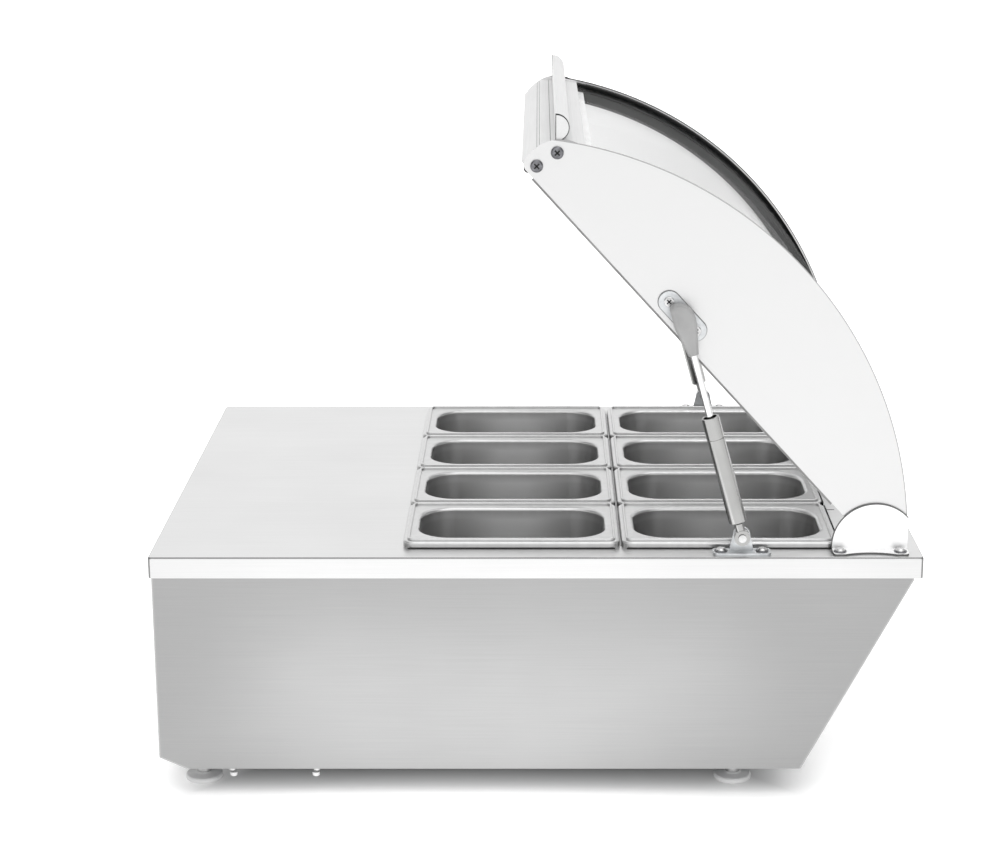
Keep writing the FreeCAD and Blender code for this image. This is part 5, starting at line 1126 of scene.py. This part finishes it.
@dataclass
class Studio:
    """White sweep, soft lights and the camera at the photograph's place."""

    focal_pixels: float = 2280.7
    image_width: float = 1000.0
    principal_x: float = 538.78
    pitch: float = 15.14
    camera_place: Triple = (2.5, -1974.0, 782.9)
    camera_far: float = 100000.0
    sensor: float = 36.0
    floor_size: float = 40000.0
    floor_glow: float = 0.35
    pool_glow: float = 0.9
    pool_x: float = -70.0
    pool_y: float = -350.0
    pool_length: float = 340.0
    pool_width: float = 190.0
    shade: str = "#686868"
    shade_inside: float = 85.0
    shade_outside: float = 48.0
    world_light: float = 1.25
    wall_light: float = 0.15
    wall_turn: tuple[float, float] = (0.55, 0.9)
    wall_rise: tuple[float, float] = (0.14, 0.3)
    key_light: Softbox = Softbox("key_softbox", (0.6, -1.5, 2.6), (0.0, 0.0, 0.2), (2.4, 2.4), 18.0)
    low_light: Softbox = Softbox("low_strip", (-0.03, -0.46, 0.02), (-0.03, 0.0, 0.02), (0.44, 0.05), 0.09)

    def build(self) -> None:
        """Set floor, world, lights and camera."""
        self.build_floor()
        self.build_world()
        self.key_light.build()
        self.low_light.build()
        self.build_camera()

    def build_floor(self) -> None:
        """Add the white floor."""
        mesh = bmesh.new()
        bmesh.ops.create_grid(mesh, x_segments=1, y_segments=1, size=self.floor_size / 2 * MM)
        data = bpy.data.meshes.new("studio_floor")
        mesh.to_mesh(data)
        mesh.free()
        # Paper: white that glows, so that the ground has no horizon
        paper = Moulded("paper_sweep_white", "#fafafa", 0.9, light=WHITE).material()
        shader = next(node for node in paper.node_tree.nodes if node.type == "BSDF_PRINCIPLED")
        surface = Surface(paper.node_tree, shader)
        surface.feed("Emission Color", linear(WHITE))
        self.shade_floor(surface)
        data.materials.append(paper)
        floor = bpy.data.objects.new("studio_floor", data)
        bpy.context.scene.collection.objects.link(floor)

    def shade_floor(self, surface: Surface) -> None:
        """Let the paper glow with a pool of light before the near panel, and shade it under the casing.

        Args:
            surface: The paper's nodes.
        """
        beyond = []
        for axis, low, high in zip("XY", *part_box("base_pan")):
            edge = (high - low) / 2
            fading = (edge - self.shade_inside * MM, edge + self.shade_outside * MM)
            beyond.append(surface.ranged(surface.away(axis, (low + high) / 2), fading, smooth=True))
        outside = surface.calculate("MAXIMUM", *beyond)
        spot = surface.add("ShaderNodeMapping", {
            "Vector": surface.place(), "Location": (self.pool_x * MM, self.pool_y * MM, 0.0),
            "Scale": (self.pool_length * MM, self.pool_width * MM, 1.0),
        }, vector_type="TEXTURE")
        reach = surface.vector("LENGTH", spot.outputs["Vector"])["Value"]
        glow = (self.floor_glow + self.pool_glow, self.floor_glow)
        pool = surface.ranged(reach, (0.0, 1.0), glow, smooth=True)
        surface.feed("Emission Strength", surface.calculate("MULTIPLY", outside, pool))
        surface.overlay(surface.ranged(outside, (0.0, 1.0), (1.0, 0.0)), self.shade)

    def build_world(self) -> None:
        """Set a white surround with dark panels hung to the left and right, which draw round metal."""
        world = bpy.data.worlds.new("studio_white")
        world.use_nodes = True
        nodes = Nodes(world.node_tree)
        heading = nodes.parts(nodes.place("Generated"))
        sideways = nodes.calculate("ABSOLUTE", heading["X"])
        wall = nodes.ranged(sideways, self.wall_turn, smooth=True)
        raised = nodes.ranged(heading["Z"], self.wall_rise, smooth=True)
        dark = nodes.calculate("MULTIPLY", wall, raised)
        light = nodes.ranged(dark, (0.0, 1.0), (self.world_light, self.wall_light))
        nodes.fill(world.node_tree.nodes["Background"], {"Color": linear(WHITE), "Strength": light})
        bpy.context.scene.world = world

    def build_camera(self) -> None:
        """Set the camera that was fitted to the photograph's straight edges."""
        camera = bpy.data.cameras.new("photo_camera")
        camera.sensor_width = self.sensor
        camera.lens = self.focal_pixels / self.image_width * self.sensor
        camera.shift_x = 0.5 - self.principal_x / self.image_width
        camera.clip_end = self.camera_far * MM
        holder = bpy.data.objects.new("photo_camera", camera)
        holder.location = Vector(self.camera_place) * MM
        holder.rotation_euler = (math.radians(90.0 - self.pitch), 0, 0)
        bpy.context.scene.collection.objects.link(holder)
        bpy.context.scene.camera = holder


def main() -> None:
    """Build and dress every sub-assembly, then the studio."""
    logging.basicConfig(level=logging.INFO, format="%(name)s: %(message)s")
    bpy.context.scene.view_settings.view_transform = "Standard"
    for assembly in (Casing(), Well(), Lid(), Fittings(), Machine()):
        assembly.build()
        assembly.dress()
        LOG.info("%s done", type(assembly).__name__)
    Studio().build()
    bpy.context.view_layer.update()


if __name__ == "__main__":
    main()
